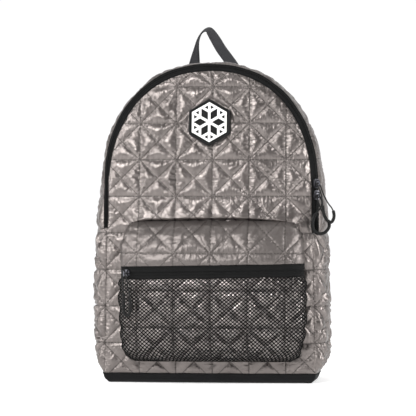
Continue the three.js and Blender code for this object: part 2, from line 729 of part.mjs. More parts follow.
function badge() {
  const back = quiltPuff + sewnGap;
  const place = onPanel(frontY, -1);
  const rings = discRings(hexagon(badgeRadius, 3), 3);
  const around = rings[0].length;
  const points = [back + badgeThickness, back].flatMap((lift) => [
    place(new THREE.Vector3(0, badgeHeight, lift)),
    ...rings.flat().map((p) => place(new THREE.Vector3(p.x, badgeHeight + p.y, lift))),
  ]);
  const face = 1 + rings.flat().length;
  const index = [];
  for (let i = 0; i < around; i++) {
    const next = (i + 1) % around;
    index.push(0, 1 + i, 1 + next, face, face + 1 + next, face + 1 + i);
    for (let ring = 0; ring < rings.length - 1; ring++) {
      const [a, b] = [1 + ring * around + i, 1 + ring * around + next];
      index.push(a, a + around, b, b, a + around, b + around);
      index.push(face + a, face + b, face + a + around, face + b, face + b + around, face + a + around);
    }
    const [a, b] = [1 + (rings.length - 1) * around + i, 1 + (rings.length - 1) * around + next];
    index.push(a, face + a, b, b, face + a, face + b);
  }
  addPiece("patch", geometryFrom(points, index), "rubber");

  const low = back + badgeThickness + sewnGap;
  const frameRadius = badgeRadius - badgeBorder;
  const hole = hexagon(frameRadius - motifFrame / Math.cos(Math.PI / 6));
  const frame = solidFrom(extruded(hexagon(frameRadius), motifThickness, [hole]));
  const star = solidFrom(extruded(snowStar(frameRadius - motifFrame / 2, motifBar), motifThickness));
  const raised = (p) => place(new THREE.Vector3(p.x, badgeHeight + p.y, low + p.z));
  addPiece("patch_motif", geometryOfSolid(frame.add(star), raised), "white");
}

// A zip slider: a plate with a wire bridge over it, in a frame where x is across the tape, y along
// it and z off its face
function sliderSolid() {
  const [w, l] = [sliderWidth / 2, sliderLength / 2];
  const waist = 0.72;
  const plate = [
    [-w * waist, -l], [w * waist, -l], [w, -l * 0.4], [w, l * 0.55], [w * waist, l], [-w * waist, l],
    [-w, l * 0.55], [-w, -l * 0.4],
  ].map(([x, y]) => new THREE.Vector2(x, y));
  const reach = l * 0.72;
  const sunk = sliderThickness * 0.4;
  const arch = [
    [-reach, -sunk], [-reach, bridgeHeight * 0.7], [-reach * 0.6, bridgeHeight], [reach * 0.6, bridgeHeight],
    [reach, bridgeHeight * 0.7], [reach, -sunk],
    [reach - bridgeWire, -sunk], [reach - bridgeWire, bridgeHeight * 0.7 - bridgeWire * 0.6],
    [reach * 0.6 - bridgeWire * 0.5, bridgeHeight - bridgeWire],
    [-reach * 0.6 + bridgeWire * 0.5, bridgeHeight - bridgeWire],
    [-reach + bridgeWire, bridgeHeight * 0.7 - bridgeWire * 0.6], [-reach + bridgeWire, -sunk],
  ].map(([x, y]) => new THREE.Vector2(x, y));
  const bridge = extruded(arch, bridgeWire).translate(0, 0, -bridgeWire / 2);
  bridge.rotateX(Math.PI / 2).rotateZ(Math.PI / 2).translate(0, 0, sliderThickness);
  return solidFrom(extruded(plate, sliderThickness)).add(solidFrom(bridge));
}

// Places a slider on a tape, given the tape's point, the way along it and the way off its face,
// and returns the point.
function addSlider(name, point, along, out) {
  const across = new THREE.Vector3().crossVectors(along, out).normalize();
  const frame = new THREE.Matrix4().makeBasis(across, along, out).setPosition(point);
  const mesh = addPiece(name, geometryOfSolid(sliderSolid()), "metal");
  mesh.applyMatrix4(frame);
  return point;
}

function sliders() {
  const middle = zipWidth / 2;
  const mainSlider = (name, height) => {
    const distance = seamDistance(height);
    const [a, b] = [stripAt(distance - 1, middle, 0), stripAt(distance + 1, middle, 0)];
    const along = a.clone().sub(b).normalize();
    const face = stripAt(distance, middle, sewnGap);
    const wide = stripAt(distance, middle + 1, 0).sub(stripAt(distance, middle - 1, 0));
    return addSlider(name, face, along, new THREE.Vector3().crossVectors(wide, along).normalize());
  };
  const upper = mainSlider("main_slider_upper", upperSliderHeight);
  const lower = mainSlider("main_slider_lower", lowerSliderHeight);
  addPull("main_upper", upper, upperPullRoute, gripStretch.upper);
  addPull("main_lower", lower, lowerPullRoute, gripStretch.lower);

  const reach = (pocketHalfWidth - pocketSliderInset) / pocketHalfWidth;
  const angle = Math.acos(reach ** (pocketPower / 2));
  const share = (zipEdge(angle, -1) + zipEdge(angle, 1)) / 2;
  const surface = pocketSurface(-0.5);
  const point = surface(angle, share);
  const along = surface(angle + 0.02, share).sub(surface(angle - 0.02, share)).normalize();
  const up = surface(angle, share + 0.01).sub(surface(angle, share - 0.01)).normalize();
  const out = new THREE.Vector3().crossVectors(along, up).normalize();
  addSlider("pocket_slider", point.addScaledVector(out, 2 * sewnGap), along.negate(), out);
  addPull("pocket", point, pocketPullRoute, gripStretch.pocket);
}

function circle(radius, sides) {
  return steps(0, 2 * Math.PI, sides)
    .slice(0, -1)
    .map((angle) => new THREE.Vector2(Math.cos(angle) * radius, Math.sin(angle) * radius));
}

// A cord along a route from its slider and the hollow grip round a stretch of it
function addPull(place, slider, route, stretch) {
  const curve = new THREE.CatmullRomCurve3(route.map((p) => new THREE.Vector3(...p).add(slider)));
  const stations = curve.getSpacedPoints(cordSteps);
  const along = (section, holes, first, last) => {
    const shape = new THREE.Shape(section);
    shape.holes = holes.map((hole) => new THREE.Path(hole));
    const extrudePath = new THREE.CatmullRomCurve3(stations.slice(first, last + 1));
    return new THREE.ExtrudeGeometry(shape, { steps: last - first, bevelEnabled: false, extrudePath });
  };
  addPiece(`${place}_pull`, along(circle(cordThickness / 2, cordSides), [], 0, cordSteps), "rubber");
  const outer = circle(gripThickness / 2, gripSides);
  const hole = circle(gripThickness / 2 - gripWall, gripSides);
  const [first, last] = [stretch.from, stretch.to].map((share) => Math.round(share * cordSteps));
  addPiece(`${place}_grip`, along(outer, [hole], first, last), "rubber");
}

// A band of webbing or padding along stations, each with a middle, a width direction and a lift
function band(stations, width, thicknessAt, across) {
  const curve = new THREE.CatmullRomCurve3(stations.map((s) => s.middle));
  const last = stations.length - 1;
  const frameAt = (u) => {
    const [i, share] = [Math.min(Math.floor(u), last - 1), u - Math.min(Math.floor(u), last - 1)];
    const wide = stations[i].wide.clone().lerp(stations[i + 1].wide, share);
    const tangent = curve.getTangent(u / last);
    wide.addScaledVector(tangent, -wide.dot(tangent)).normalize();
    return { middle: curve.getPoint(u / last), wide, out: new THREE.Vector3().crossVectors(tangent, wide) };
  };
  const face = (side) => (v, u) => {
    const { middle, wide, out } = frameAt(u);
    return middle
      .clone()
      .addScaledVector(wide, (v * width) / 2)
      .addScaledVector(out, (side * thicknessAt(v, u / last)) / 2);
  };
  return closedShell(across, steps(0, last, last * 2), face(1), face(-1));
}

function grabHandle() {
  const [frontal, sideways] = [new THREE.Vector3(0, 1, 0), new THREE.Vector3()];
  const points = handleRows.map(
    (row) =>
      new THREE.Vector3(
        handleAside + row.across * handleHalfSpan,
        backSeam + handleWall / 2 + 2 * sewnGap + row.back * handleRise,
        seamTop + row.up * handleRise,
      ),
  );
  const stations = handleRows.map((row, i) => {
    const tangent = points[Math.min(i + 1, points.length - 1)].clone().sub(points[Math.max(i - 1, 0)]);
    const turn = THREE.MathUtils.degToRad(row.turn);
    sideways.crossVectors(frontal, tangent).normalize();
    const wide = sideways.clone().multiplyScalar(Math.cos(turn)).addScaledVector(frontal, Math.sin(turn));
    return { middle: points[i], wide };
  });
  addPiece("grab_handle", band(stations, handleWidth, () => handleWall, [-1, 1]), "webbing");
}

// One shoulder strap with its adjuster, webbing, tail and lower anchor; side is 1 on the right
function carryingStrap(side, name) {
  const wide = new THREE.Vector3(side, 0, 0);
  const point = (row) => {
    const x = side * (strapTopAside + row.aside * strapSpread);
    const z = strapTop - row.down * strapDrop;
    return new THREE.Vector3(x, backY(x, z) + sewnGap + strapThick / 2 + row.out * strapBow, z);
  };
  const stations = strapRows.map((row) => ({ middle: point(row), wide }));
  const padThickness = (v) => mix(strapThick, strapEdge, v ** 4);
  const pad = band(stations, strapWidth, padThickness, [-1, -0.8, 0, 0.8, 1]);
  addPiece(`${name}_shoulder_strap`, pad, "quilt");

  const end = point(strapRows.at(-1));
  const tabFace = backY(anchorAside, anchorHeight) + sewnGap + baseWall;
  const anchor = new THREE.Vector3(side * anchorAside, tabFace + 2 * sewnGap + webbingWall / 2, anchorHeight);
  const adjuster = addPiece(`${name}_strap_adjuster`, adjusterGeometry(), "plastic");
  const down = anchor.clone().sub(end).normalize();
  const middle = end.clone().addScaledVector(down, adjusterLength / 2 + strapThick / 2 - 1.4);
  const across = new THREE.Vector3().crossVectors(down, new THREE.Vector3(0, 1, 0)).normalize();
  const out = new THREE.Vector3().crossVectors(across, down);
  adjuster.applyMatrix4(new THREE.Matrix4().makeBasis(across, down, out).setPosition(middle));

  const start = middle.clone().addScaledVector(down, adjusterLength / 2 + sewnGap);
  const straight = (from, to) => [0, 1].map((s) => ({ middle: from.clone().lerp(to, s), wide: across }));
  const wall = () => webbingWall;
  const lower = band(straight(start, anchor), webbingWidth, wall, [-1, 1]);
  addPiece(`${name}_lower_webbing`, lower, "webbing");

  const tailTop = middle.clone().add(new THREE.Vector3(0, adjusterThick / 2 + webbingWall, 0));
  const tailEnd = tailTop.clone().add(new THREE.Vector3(0, -0.1 * tailLength, -tailLength));
  const tail = band(straight(tailTop, tailEnd), webbingWidth, wall, [-1, 1]);
  addPiece(`${name}_webbing_tail`, tail, "webbing");

  const tab = [
    [side * (anchorAside + anchorSize / 2), anchorHeight - anchorSize * 0.7],
    [side * (anchorAside + anchorSize / 2), anchorHeight + anchorSize / 2],
    [side * (anchorAside - anchorSize / 2), anchorHeight + anchorSize / 4],
    [side * (anchorAside - anchorSize / 2), anchorHeight - anchorSize / 4],
  ].map(([x, z]) => new THREE.Vector2(x, z));
  const flat = solidFrom(extruded(tab, baseWall));
  const place = onPanel(backY, 1);
  const seated = geometryOfSolid(flat, (p) => place(new THREE.Vector3(p.x, p.y, p.z + sewnGap)));
  addPiece(`${name}_strap_anchor`, seated, "quilt");
}

// A ladder lock: a flat frame with two slots, x across the strap and y along it
function adjusterGeometry() {
  const [w, l] = [adjusterWidth / 2, adjusterLength / 2];
  const slot = (from, to) =>
    [[-w + adjusterRim, from], [-w + adjusterRim, to], [w - adjusterRim, to], [w - adjusterRim, from]].map(
      ([x, y]) => new THREE.Vector2(x, y),
    );
  const outline = [[-w, -l], [w, -l], [w, l], [-w, l]].map(([x, y]) => new THREE.Vector2(x, y));
  const bar = adjusterRim / 2;
  const holes = [slot(-l + adjusterRim, -bar), slot(bar, l - adjusterRim)];
  return extruded(outline, adjusterThick, holes).translate(0, 0, -adjusterThick / 2);
}

frontPanel();
backPanel();
strips();
base();
pocket();
badge();
sliders();
grabHandle();
carryingStrap(-1, "left");
carryingStrap(1, "right");

export default group;
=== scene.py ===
"""Visual model of a quilted puffer backpack, in metres, over the CAD frame: +Z is up and the front
faces -Y. Sizes below are millimetres, as in the CAD source, and UNIT turns them into metres."""

import functools
import math

import bpy
import numpy as np
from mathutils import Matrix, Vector
from mathutils.kdtree import KDTree


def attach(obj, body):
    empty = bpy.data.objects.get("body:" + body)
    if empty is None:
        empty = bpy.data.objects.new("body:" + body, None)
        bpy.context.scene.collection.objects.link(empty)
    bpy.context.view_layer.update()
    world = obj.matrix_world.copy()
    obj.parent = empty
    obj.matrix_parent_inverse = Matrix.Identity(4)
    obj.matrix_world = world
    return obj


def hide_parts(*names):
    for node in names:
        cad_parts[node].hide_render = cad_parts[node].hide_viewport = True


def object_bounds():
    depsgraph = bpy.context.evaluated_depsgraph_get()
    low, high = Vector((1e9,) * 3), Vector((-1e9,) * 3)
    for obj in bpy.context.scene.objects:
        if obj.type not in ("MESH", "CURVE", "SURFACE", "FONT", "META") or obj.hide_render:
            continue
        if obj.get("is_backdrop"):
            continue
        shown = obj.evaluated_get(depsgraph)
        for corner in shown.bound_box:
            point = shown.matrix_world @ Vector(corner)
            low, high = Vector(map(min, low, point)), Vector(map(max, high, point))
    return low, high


UNIT = 0.001
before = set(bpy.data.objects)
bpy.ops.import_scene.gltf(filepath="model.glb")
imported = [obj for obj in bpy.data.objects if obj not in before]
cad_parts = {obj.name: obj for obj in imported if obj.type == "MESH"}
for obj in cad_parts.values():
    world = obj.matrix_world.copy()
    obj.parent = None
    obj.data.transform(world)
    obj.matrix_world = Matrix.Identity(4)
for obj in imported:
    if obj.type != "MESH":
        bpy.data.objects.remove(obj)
start_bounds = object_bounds()
rng = np.random.default_rng(7)

# Sizes repeated from the CAD source
seam_top = 406.0
arch_spring = 250.0
seam_half_low = 136.0
seam_half_high = 132.0
arch_power = 2.2
front_seam_low = 58.0
front_seam_high = 44.0
lean_start = 150.0
back_seam = 58.0
front_crown = 11.0
back_crown = 5.0
crown_power = 2.4
side_bulge = 20.0
base_height = 12.6
base_inset = 11.0
sewn_gap = 0.3
quilt_pitch = 47.6
quilt_across = 4.0
quilt_up = 4.5
zip_width = 12.0
zip_end_left = 201.0
zip_end_right = 195.0
pocket_middle = 5.0
pocket_half = 118.0
pocket_bottom = 30.0
pocket_top = 211.0
pocket_depth = 32.0
pocket_power = 5.0
pocket_zip_height = 146.0
pocket_zip_width = 16.0
pocket_zip_rise = 4.0
badge_height = 338.0
badge_radius = 30.5

bulge_rows = np.array([
    (0.031, 0.25, 2.3), (0.055, 0.62, 2.3), (0.08, 0.85, 2.3), (0.14, 0.97, 2.3), (0.2, 1.0, 2.3),
    (0.35, 0.96, 2.3), (0.47, 0.93, 2.2), (0.56, 0.9, 2.2), (0.62, 0.79, 2.2), (0.68, 0.68, 2.4),
    (0.8, 0.65, 3.0), (1.0, 0.58, 4.0),
])
pocket_rows = np.array([
    (0.0, 0.0, 0.84), (0.02, 0.4, 0.9), (0.05, 0.62, 0.94), (0.1, 0.82, 0.965), (0.2, 0.96, 0.985),
    (0.35, 1.0, 1.0), (0.6, 0.98, 1.0), (0.72, 0.92, 1.0), (0.82, 0.8, 0.995), (0.9, 0.62, 0.975),
    (0.96, 0.4, 0.94), (1.0, 0.0, 0.87),
])
soft_offsets = (-0.01, -0.005, 0.0, 0.005, 0.01)


def read(rows, column, share):
    """A column of a table at shares, softening the corners between its rows."""
    share = np.asarray(share, float)
    return sum(np.interp(share + o, rows[:, 0], rows[:, column]) for o in soft_offsets) / len(soft_offsets)


def mix(a, b, share):
    return a + (b - a) * share


def smoothstep(value, low, high):
    t = np.clip((np.asarray(value, float) - low) / (high - low), 0, 1)
    return t * t * (3 - 2 * t)


def bell(offset, reach):
    return np.exp(-((offset / reach) ** 2))


def stack(*parts):
    """Coordinates side by side in the last axis, spread to one shape."""
    return np.stack(np.broadcast_arrays(*parts), axis=-1)


def unit(vectors):
    return vectors / (np.linalg.norm(vectors, axis=-1, keepdims=True) + 1e-9)


def running(points):
    """The length run along a line of points, from its start."""
    return np.concatenate([[0], np.cumsum(np.linalg.norm(np.diff(points, axis=0), axis=1))])


def evenly(path, count, closed=False):
    """Even steps along a line of points, with their lengths from its start."""
    run = running(path)
    at = np.linspace(0, run[-1], count, endpoint=not closed)
    return stack(*(np.interp(at, run, column) for column in path.T)), at


# The right half of the panels' seam, from its top down to the base
angles = np.linspace(0, math.pi / 2, 241)
arch_x = seam_half_high * np.sin(angles) ** (2 / arch_power)
arch_z = arch_spring + (seam_top - arch_spring) * np.abs(np.cos(angles)) ** (2 / arch_power)
low_z = np.linspace(arch_spring, base_height, 81)[1:]
seam_x = np.concatenate([arch_x, mix(seam_half_low, seam_half_high, low_z / arch_spring)])
seam_z = np.concatenate([arch_z, low_z])
seam_run = running(stack(seam_x, seam_z))
seam_length = seam_run[-1]
seam_rows = (seam_x, seam_z, np.gradient(seam_x, seam_run), np.gradient(seam_z, seam_run))


def seam_at(distance):
    """Points of the seam and its outward direction, by distance from the top, right if positive."""
    side = np.where(np.asarray(distance) < 0, -1.0, 1.0)
    x, z, dx, dz = (np.interp(np.abs(distance), seam_run, row) for row in seam_rows)
    size = np.hypot(dx, dz)
    return side * x, z, side * -dz / size, dx / size


def seam_distance(height):
    return float(np.interp(-height, -seam_z, seam_run))


def front_seam_y(z):
    return -mix(front_seam_low, front_seam_high, smoothstep(z, lean_start, seam_top))


def towards_seam(x, z):
    low = np.abs(x) / mix(seam_half_low, seam_half_high, z / arch_spring)
    up = np.clip((z - arch_spring) / (seam_top - arch_spring), 0, None)
    high = ((np.abs(x) / seam_half_high) ** arch_power + up**arch_power) ** (1 / arch_power)
    return np.where(z <= arch_spring, low, high)


def crown_share(x, z):
    low = mix(0.35, 1.0, smoothstep(z, base_height, seam_top / 4))
    return low * np.clip(1 - towards_seam(x, z) ** crown_power, 0, None)


def front_y(x, z):
    return front_seam_y(z) - front_crown * crown_share(x, z)


def back_y(x, z):
    return back_seam + back_crown * crown_share(x, z)


profile_angles = np.linspace(0, math.pi, 129)


def strip_tables(distances):
    """The strip's cross-sections at distances along the seam: out of the seam, depth, run."""
    _, z, _, _ = seam_at(distances)
    share = z / seam_top
    bulge = side_bulge * read(bulge_rows, 1, share)
    power = read(bulge_rows, 2, share)
    front = front_seam_y(z)
    c, s = np.cos(profile_angles)[None], np.abs(np.sin(profile_angles))[None]
    p = (2 / power)[:, None]
    out = sewn_gap + bulge[:, None] * s**p
    middle, half = (front + back_seam)[:, None] / 2, (back_seam - front)[:, None] / 2
    depth = middle - half * np.sign(c) * np.abs(c) ** p
    run = np.cumsum(np.hypot(np.diff(out, axis=1), np.diff(depth, axis=1)), axis=1)
    return out, depth, np.hstack([np.zeros((len(run), 1)), run])


def strip_points(distances, inwards, lift):
    """Points of the strip for each distance (rows) and its inward run (columns), lifted."""
    sx, sz, ox, oz = seam_at(distances)
    out, depth, run = strip_tables(distances)
    small = 0.6  # half the run over which the face's slope is read
    points = np.zeros(inwards.shape + (3,))
    for i in range(len(distances)):
        near = [np.clip(inwards[i] + step, 0, run[i, -1]) for step in (-small, small)]
        (o, do), (y, dy) = (
            (np.interp(inwards[i], run[i], row[i]), np.diff(np.interp(near, run[i], row[i]), axis=0)[0])
            for row in (out, depth)
        )
        size = np.maximum(np.hypot(do, dy), 1e-6)
        o = o + lift[i] * dy / size
        points[i] = stack(sx[i] + ox[i] * o, y - lift[i] * do / size, sz[i] + oz[i] * o)
    return points


def strip_inwards(distances, inwards):
    """Directions into the bag from the strip's plain face."""
    flat = np.zeros_like(inwards)
    return strip_points(distances, inwards, flat - 1) - strip_points(distances, inwards, flat)


def surface_points(surface, out, x, z, lift):
    """Points on a panel that is y over x and z, lifted along its normal."""
    small = 0.5
    slope_x = (surface(x + small, z) - surface(x - small, z)) / (2 * small)
    slope_z = (surface(x, z + small) - surface(x, z - small)) / (2 * small)
    return stack(x, surface(x, z), z) + unit(stack(-slope_x, 1.0, -slope_z)) * out * lift[..., None]


def panel_grid(u, v, inset):
    """Places across and up a panel, from shares that run round its seam on three sides."""
    shoulder = seam_distance(mix(arch_spring, seam_top, 0.62))

    def rim(distance):
        x, z, ox, oz = seam_at(distance)
        return stack(x - ox * inset, z - oz * inset)

    def side(sign, share):
        return rim(sign * mix(seam_length, shoulder, share))

    lowest = base_height + sewn_gap / 2
    low, high = stack((seam_half_low - inset) * u, lowest), rim(shoulder * u)
    s, t = ((u + 1) / 2)[..., None], v[..., None]
    corners = [mix(side(-1, end + 0 * u), side(1, end + 0 * u), s) for end in (0, 1)]
    grid = mix(low, high, t) + mix(side(-1, v), side(1, v), s) - mix(*corners, t)
    return grid[..., 0], np.maximum(grid[..., 1], lowest)


# The quilted cloth, relaxed as a sheet that repeats after some squares: a net of springs a little
# longer than the stitch lines, held at the stitches and pushed out by its filling.
def repeating_cloud(count, lumps):
    """Smooth numbers from 0 to 1 on a square that repeats, with so many lumps across."""
    values = np.pad(rng.random((lumps, lumps)), ((0, 1), (0, 1)), mode="wrap")
    place = np.arange(count) / count * lumps
    k = place.astype(int)
    t = smoothstep(place - k, 0, 1)
    low = mix(values[k][:, k], values[k][:, k + 1], t[None])
    high = mix(values[k + 1][:, k], values[k + 1][:, k + 1], t[None])
    return mix(low, high, t[:, None])


def quilt_cloth(squares, cells, grow, push, bend, rounds):
    step = quilt_pitch / cells
    count = squares * cells
    j, i = np.mgrid[0:count, 0:count]
    a, b = i % cells, j % cells
    held = (b == 0) | (a == b) | ((a + b) % cells == 0) | ((a == 0) & (b % 3 == 0))
    free = ~held[..., None]
    move = np.zeros((count, count, 3))
    move[..., 2] = rng.uniform(0.0, 1.5, (count, count))
    move[..., :2] = rng.normal(0, 0.15, (count, count, 2))
    move *= free
    lumps = int(squares * 1.5)
    slack = grow * (0.3 + 1.4 * repeating_cloud(count, lumps)) + rng.normal(0, 0.02, (count, count))
    rest = 1 + np.clip(slack, 0, 0.25)
    lift = push * (0.3 + 1.4 * repeating_cloud(count, lumps))
    links = ((0, 1, 1.0), (1, 0, 1.0), (1, 1, 0.4), (1, -1, 0.4), (0, 2, bend), (2, 0, bend))
    share = 2 * sum(stiff for _, _, stiff in links)
    before = move.copy()
    for _ in range(rounds):
        speed = (move - before) * 0.9
        before = move.copy()
        gx = np.roll(move, -1, 1) - np.roll(move, 1, 1) + [2 * step, 0, 0]
        gy = np.roll(move, -1, 0) - np.roll(move, 1, 0) + [0, 2 * step, 0]
        move = move + (speed + lift[..., None] * unit(np.cross(gx, gy))) * free
        for _ in range(2):
            total = np.zeros_like(move)
            for dj, di, stiff in links:
                edge = np.roll(move, (-dj, -di), (0, 1)) - move + [di * step, dj * step, 0]
                length = np.linalg.norm(edge, axis=-1)
                wanted = math.hypot(di, dj) * step * rest
                pull = stiff * 0.5 * (length - wanted) / length
                if max(abs(dj), abs(di)) == 2:  # these only keep the cloth from folding sharply
                    pull = np.where(length < 0.97 * wanted, pull, 0)
                change = pull[..., None] * edge
                total += change
                total -= np.roll(change, (dj, di), (0, 1))
            move = move + total * free * (1.8 / share)
        move[..., 2] = np.maximum(move[..., 2], -0.4)
    return move[..., 2], step


cloth_squares, cloth_cells, cloth_rounds = ((6, 32, 240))
quilt_field, quilt_step = quilt_cloth(cloth_squares, cloth_cells, 0.062, 0.0032, 0.4, cloth_rounds)


def sample(field, step, across, up):
    """A repeating field at places, by smooth cubic steps between its points."""
    count = field.shape[0]
    places = (across / step, up / step)
    ia, ib = (np.floor(place).astype(int) for place in places)

    def weights(t):
        return (
            0.5 * (-t + 2 * t**2 - t**3), 0.5 * (2 - 5 * t**2 + 3 * t**3),
            0.5 * (t + 4 * t**2 - 3 * t**3), 0.5 * (t**3 - t**2),
        )

    wa, wb = weights(places[0] - ia), weights(places[1] - ib)
    return sum(wa[m] * wb[n] * field[(ib + n - 1) % count, (ia + m - 1) % count]
               for n in range(4) for m in range(4))


def waves(across, up, size, seed):
    """Smooth unevenness of about one unit, in lumps of a size."""
    own = np.random.default_rng(seed)
    total = np.zeros_like(across, dtype=float)
    for _ in range(7):
        angle, phase = own.uniform(0, math.pi), own.uniform(0, 2 * math.pi)
        reach = size * own.uniform(0.7, 1.5)
        total += np.sin((across * math.cos(angle) + up * math.sin(angle)) * 2 * math.pi / reach + phase)
    return total / 2.6


def stitch_distance(across, up):
    """Distance to the nearest line of stitches."""
    a = np.abs(across / quilt_pitch - np.round(across / quilt_pitch))
    b = np.abs(up / quilt_pitch - np.round(up / quilt_pitch))
    return quilt_pitch * np.minimum(np.minimum(a, b), np.abs(a - b) / math.sqrt(2))


def creases(along, across, count, seed, reach, way, spread):
    """Random shallow creases over a piece of cloth, mostly running one way (degrees)."""
    own = np.random.default_rng(seed)
    low, high = [along.min(), across.min()], [along.max(), across.max()]
    total = np.zeros_like(along, dtype=float)
    for _ in range(count):
        x, y = own.uniform(low, high)
        angle = math.radians(way + own.normal(0, spread))
        length, width, depth = reach * own.uniform(0.5, 1.3), own.uniform(1.3, 3.2), own.uniform(0.3, 1.0)
        dx, dy = along - x, across - y
        run = (dx * math.cos(angle) + dy * math.sin(angle)) / length
        off = (dy * math.cos(angle) - dx * math.sin(angle)) / width + 1.2 * np.sin(run * 2 + x)
        total += depth * bell(run, 1) * (0.5 * bell(off - 1.5, 1) - bell(off, 1))
    return total


gather_length = 6.1  # from one gather to the next along a seam


def quilting(across, up, edge, run, puff, pinch=1.0):
    """Lift of quilted cloth at a place. edge is the distance to its seam and run the way along it."""
    fade = smoothstep(edge, 0, 9)
    lift = sample(quilt_field, quilt_step, across, up) * puff * fade
    lift -= 0.4 * bell(stitch_distance(across, up), 0.9) * fade
    gather = np.sin(run * 2 * math.pi / gather_length + 2.6 * waves(run, edge, 45, 11))
    gather *= 0.6 + 0.4 * waves(run, edge, 30, 12)
    lift += pinch * 0.4 * gather * np.exp(-edge / 7) * smoothstep(edge, 0, 3)
    return lift + 0.7 * smoothstep(edge, 0, 4) * np.exp(-edge / 18)


def add_object(name, data):
    obj = bpy.data.objects.new(name, data)
    bpy.context.scene.collection.objects.link(obj)
    return obj


def make_object(name, verts, faces):
    mesh = bpy.data.meshes.new(name)
    verts = np.asarray(verts, float).reshape(-1, 3) * UNIT
    mesh.from_pydata(verts.tolist(), [], [tuple(face) for face in faces])
    mesh.validate()
    mesh.shade_smooth()
    return add_object(name, mesh)


def set_cloth_map(obj, places, layer_name="cloth"):
    """Gives each corner its place on the cloth, in metres, for the materials."""
    mesh = obj.data
    layer = mesh.uv_layers.new(name=layer_name)
    index = np.zeros(len(mesh.loops), int)
    mesh.loops.foreach_get("vertex_index", index)
    layer.data.foreach_set("uv", (places.reshape(-1, 2)[index] * UNIT).ravel())


def grid_faces(rows, columns, flip=False, wrap=False):
    r = np.arange(rows - 1)[:, None]
    c = np.arange(columns if wrap else columns - 1)[None]
    a = r * columns + c
    b = r * columns + (c + 1) % columns
    quads = np.stack([a, b, b + columns, a + columns], axis=-1).reshape(-1, 4)
    return quads[:, ::-1] if flip else quads


quilted = []  # name, points, lattice places, edge distances and outward directions of each quilted cloth


def grid_object(name, node, points, places, back, flip=False, skirt=3.0, lattice=None, edge=None):
    """A sheet that replaces a node, from a grid of points. Its rim turns in by the skirt towards back."""

    def grown(grid):
        return np.pad(grid, ((1, 1), (1, 1), (0, 0)), mode="edge")

    rim = np.pad(np.zeros(points.shape[:2]), 1, constant_values=skirt)
    outline = grown(points) + rim[..., None] * grown(back)
    obj = make_object(name, outline, grid_faces(*rim.shape, flip))
    set_cloth_map(obj, grown(places))
    if lattice is not None:
        set_cloth_map(obj, grown(lattice) / quilt_pitch / UNIT, "lattice")
        quilted.append((name, points, lattice, edge, -back))
    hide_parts(node)
    return obj


def ring_object(name, node, points, places, caps=()):
    """A surface that replaces a node, through closed rings of points. Caps close its ends."""
    rows, columns = points.shape[:2]
    ends = {"first": range(columns)[::-1], "last": range((rows - 1) * columns, rows * columns)}
    faces = [*grid_faces(rows, columns, wrap=True), *(ends[cap] for cap in caps)]
    obj = make_object(name, points, faces)
    set_cloth_map(obj, places)
    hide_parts(node)
    return obj


def grid_normals(points):
    return unit(np.cross(np.gradient(points, axis=1), np.gradient(points, axis=0)))


fine = 1.25  # spacing of the cloths' points


def panel(name, node, surface, out, lift_at, seam_inset):
    """A panel inside the seam, with its quilting or padding as lift over its plain surface."""
    columns, rows = int(2 * seam_half_low / fine), int((seam_top - base_height) / fine)
    u, v = np.meshgrid(np.linspace(-1, 1, columns), np.linspace(0, 1, rows))
    x, z = panel_grid(u, v, seam_inset)
    edge = (1 - towards_seam(x, z)) * seam_half_high - seam_inset
    edge = np.minimum(np.clip(edge, 0, None), z - base_height)
    run = np.where(1 - np.abs(u) < 1 - v, z, x)
    points = surface_points(surface, out, x, z, lift_at(x, z, np.clip(edge, 0, None), run))
    places, back = stack(x, z), stack(0 * x, -out, 0)
    lattice = places - [quilt_across, quilt_up] if out < 0 else None
    shown = np.where(np.hypot(x, z - badge_height) > badge_radius, edge, 0)
    return grid_object(name, node, points, places, back, out > 0, lattice=lattice, edge=shown)


front_puff, side_puff, gusset_puff, side_crumple = 0.72, 0.6, 0.42, 2.7


def front_lift(x, z, edge, run):
    """The front's quilting, pressed flat under the badge, with a fold that hangs over the pocket."""
    lift = quilting(x - quilt_across, z - quilt_up, edge, run, front_puff)
    lift += (0.8 * waves(x, z, 120, 5) + creases(x, z, 70, 6, 22, 20, 60)) * smoothstep(edge, 0, 25)
    under_badge = 1 - smoothstep(np.hypot(x, z - badge_height), badge_radius - 3, badge_radius + 4)
    lift = mix(lift, np.minimum(lift, 0.8) * 0.5, under_badge)
    from_middle = np.abs(x - pocket_middle) / pocket_half
    above = z - pocket_top + 14 * from_middle**6 - 1.2 * waves(x, 0 * x, 60, 8)
    inside = smoothstep(1 - from_middle, 0, 0.2)
    fold = smoothstep(above, -0.5, 3) * np.exp(-np.clip(above - 3, 0, None) / 14) * inside
    return mix(lift, lift * 0.5 + 1.0, np.clip(fold * 1.3, 0, 1)) + 5.8 * fold


front = panel("front_cloth", "front_panel", front_y, -1, front_lift, -0.9)

zip_left, zip_right = -seam_distance(zip_end_left), seam_distance(zip_end_right)
half_gap = sewn_gap / 2


def zip_cover(distances):
    """The share of the zip's width that shows: the cloth folds over it towards its left end."""
    left = smoothstep(distances, zip_left - 4, zip_left + 170)
    right = smoothstep(-distances, -zip_right - 4, -zip_right + 90)
    return mix(0.42, 1.0, left) * mix(0.8, 1.0, right)


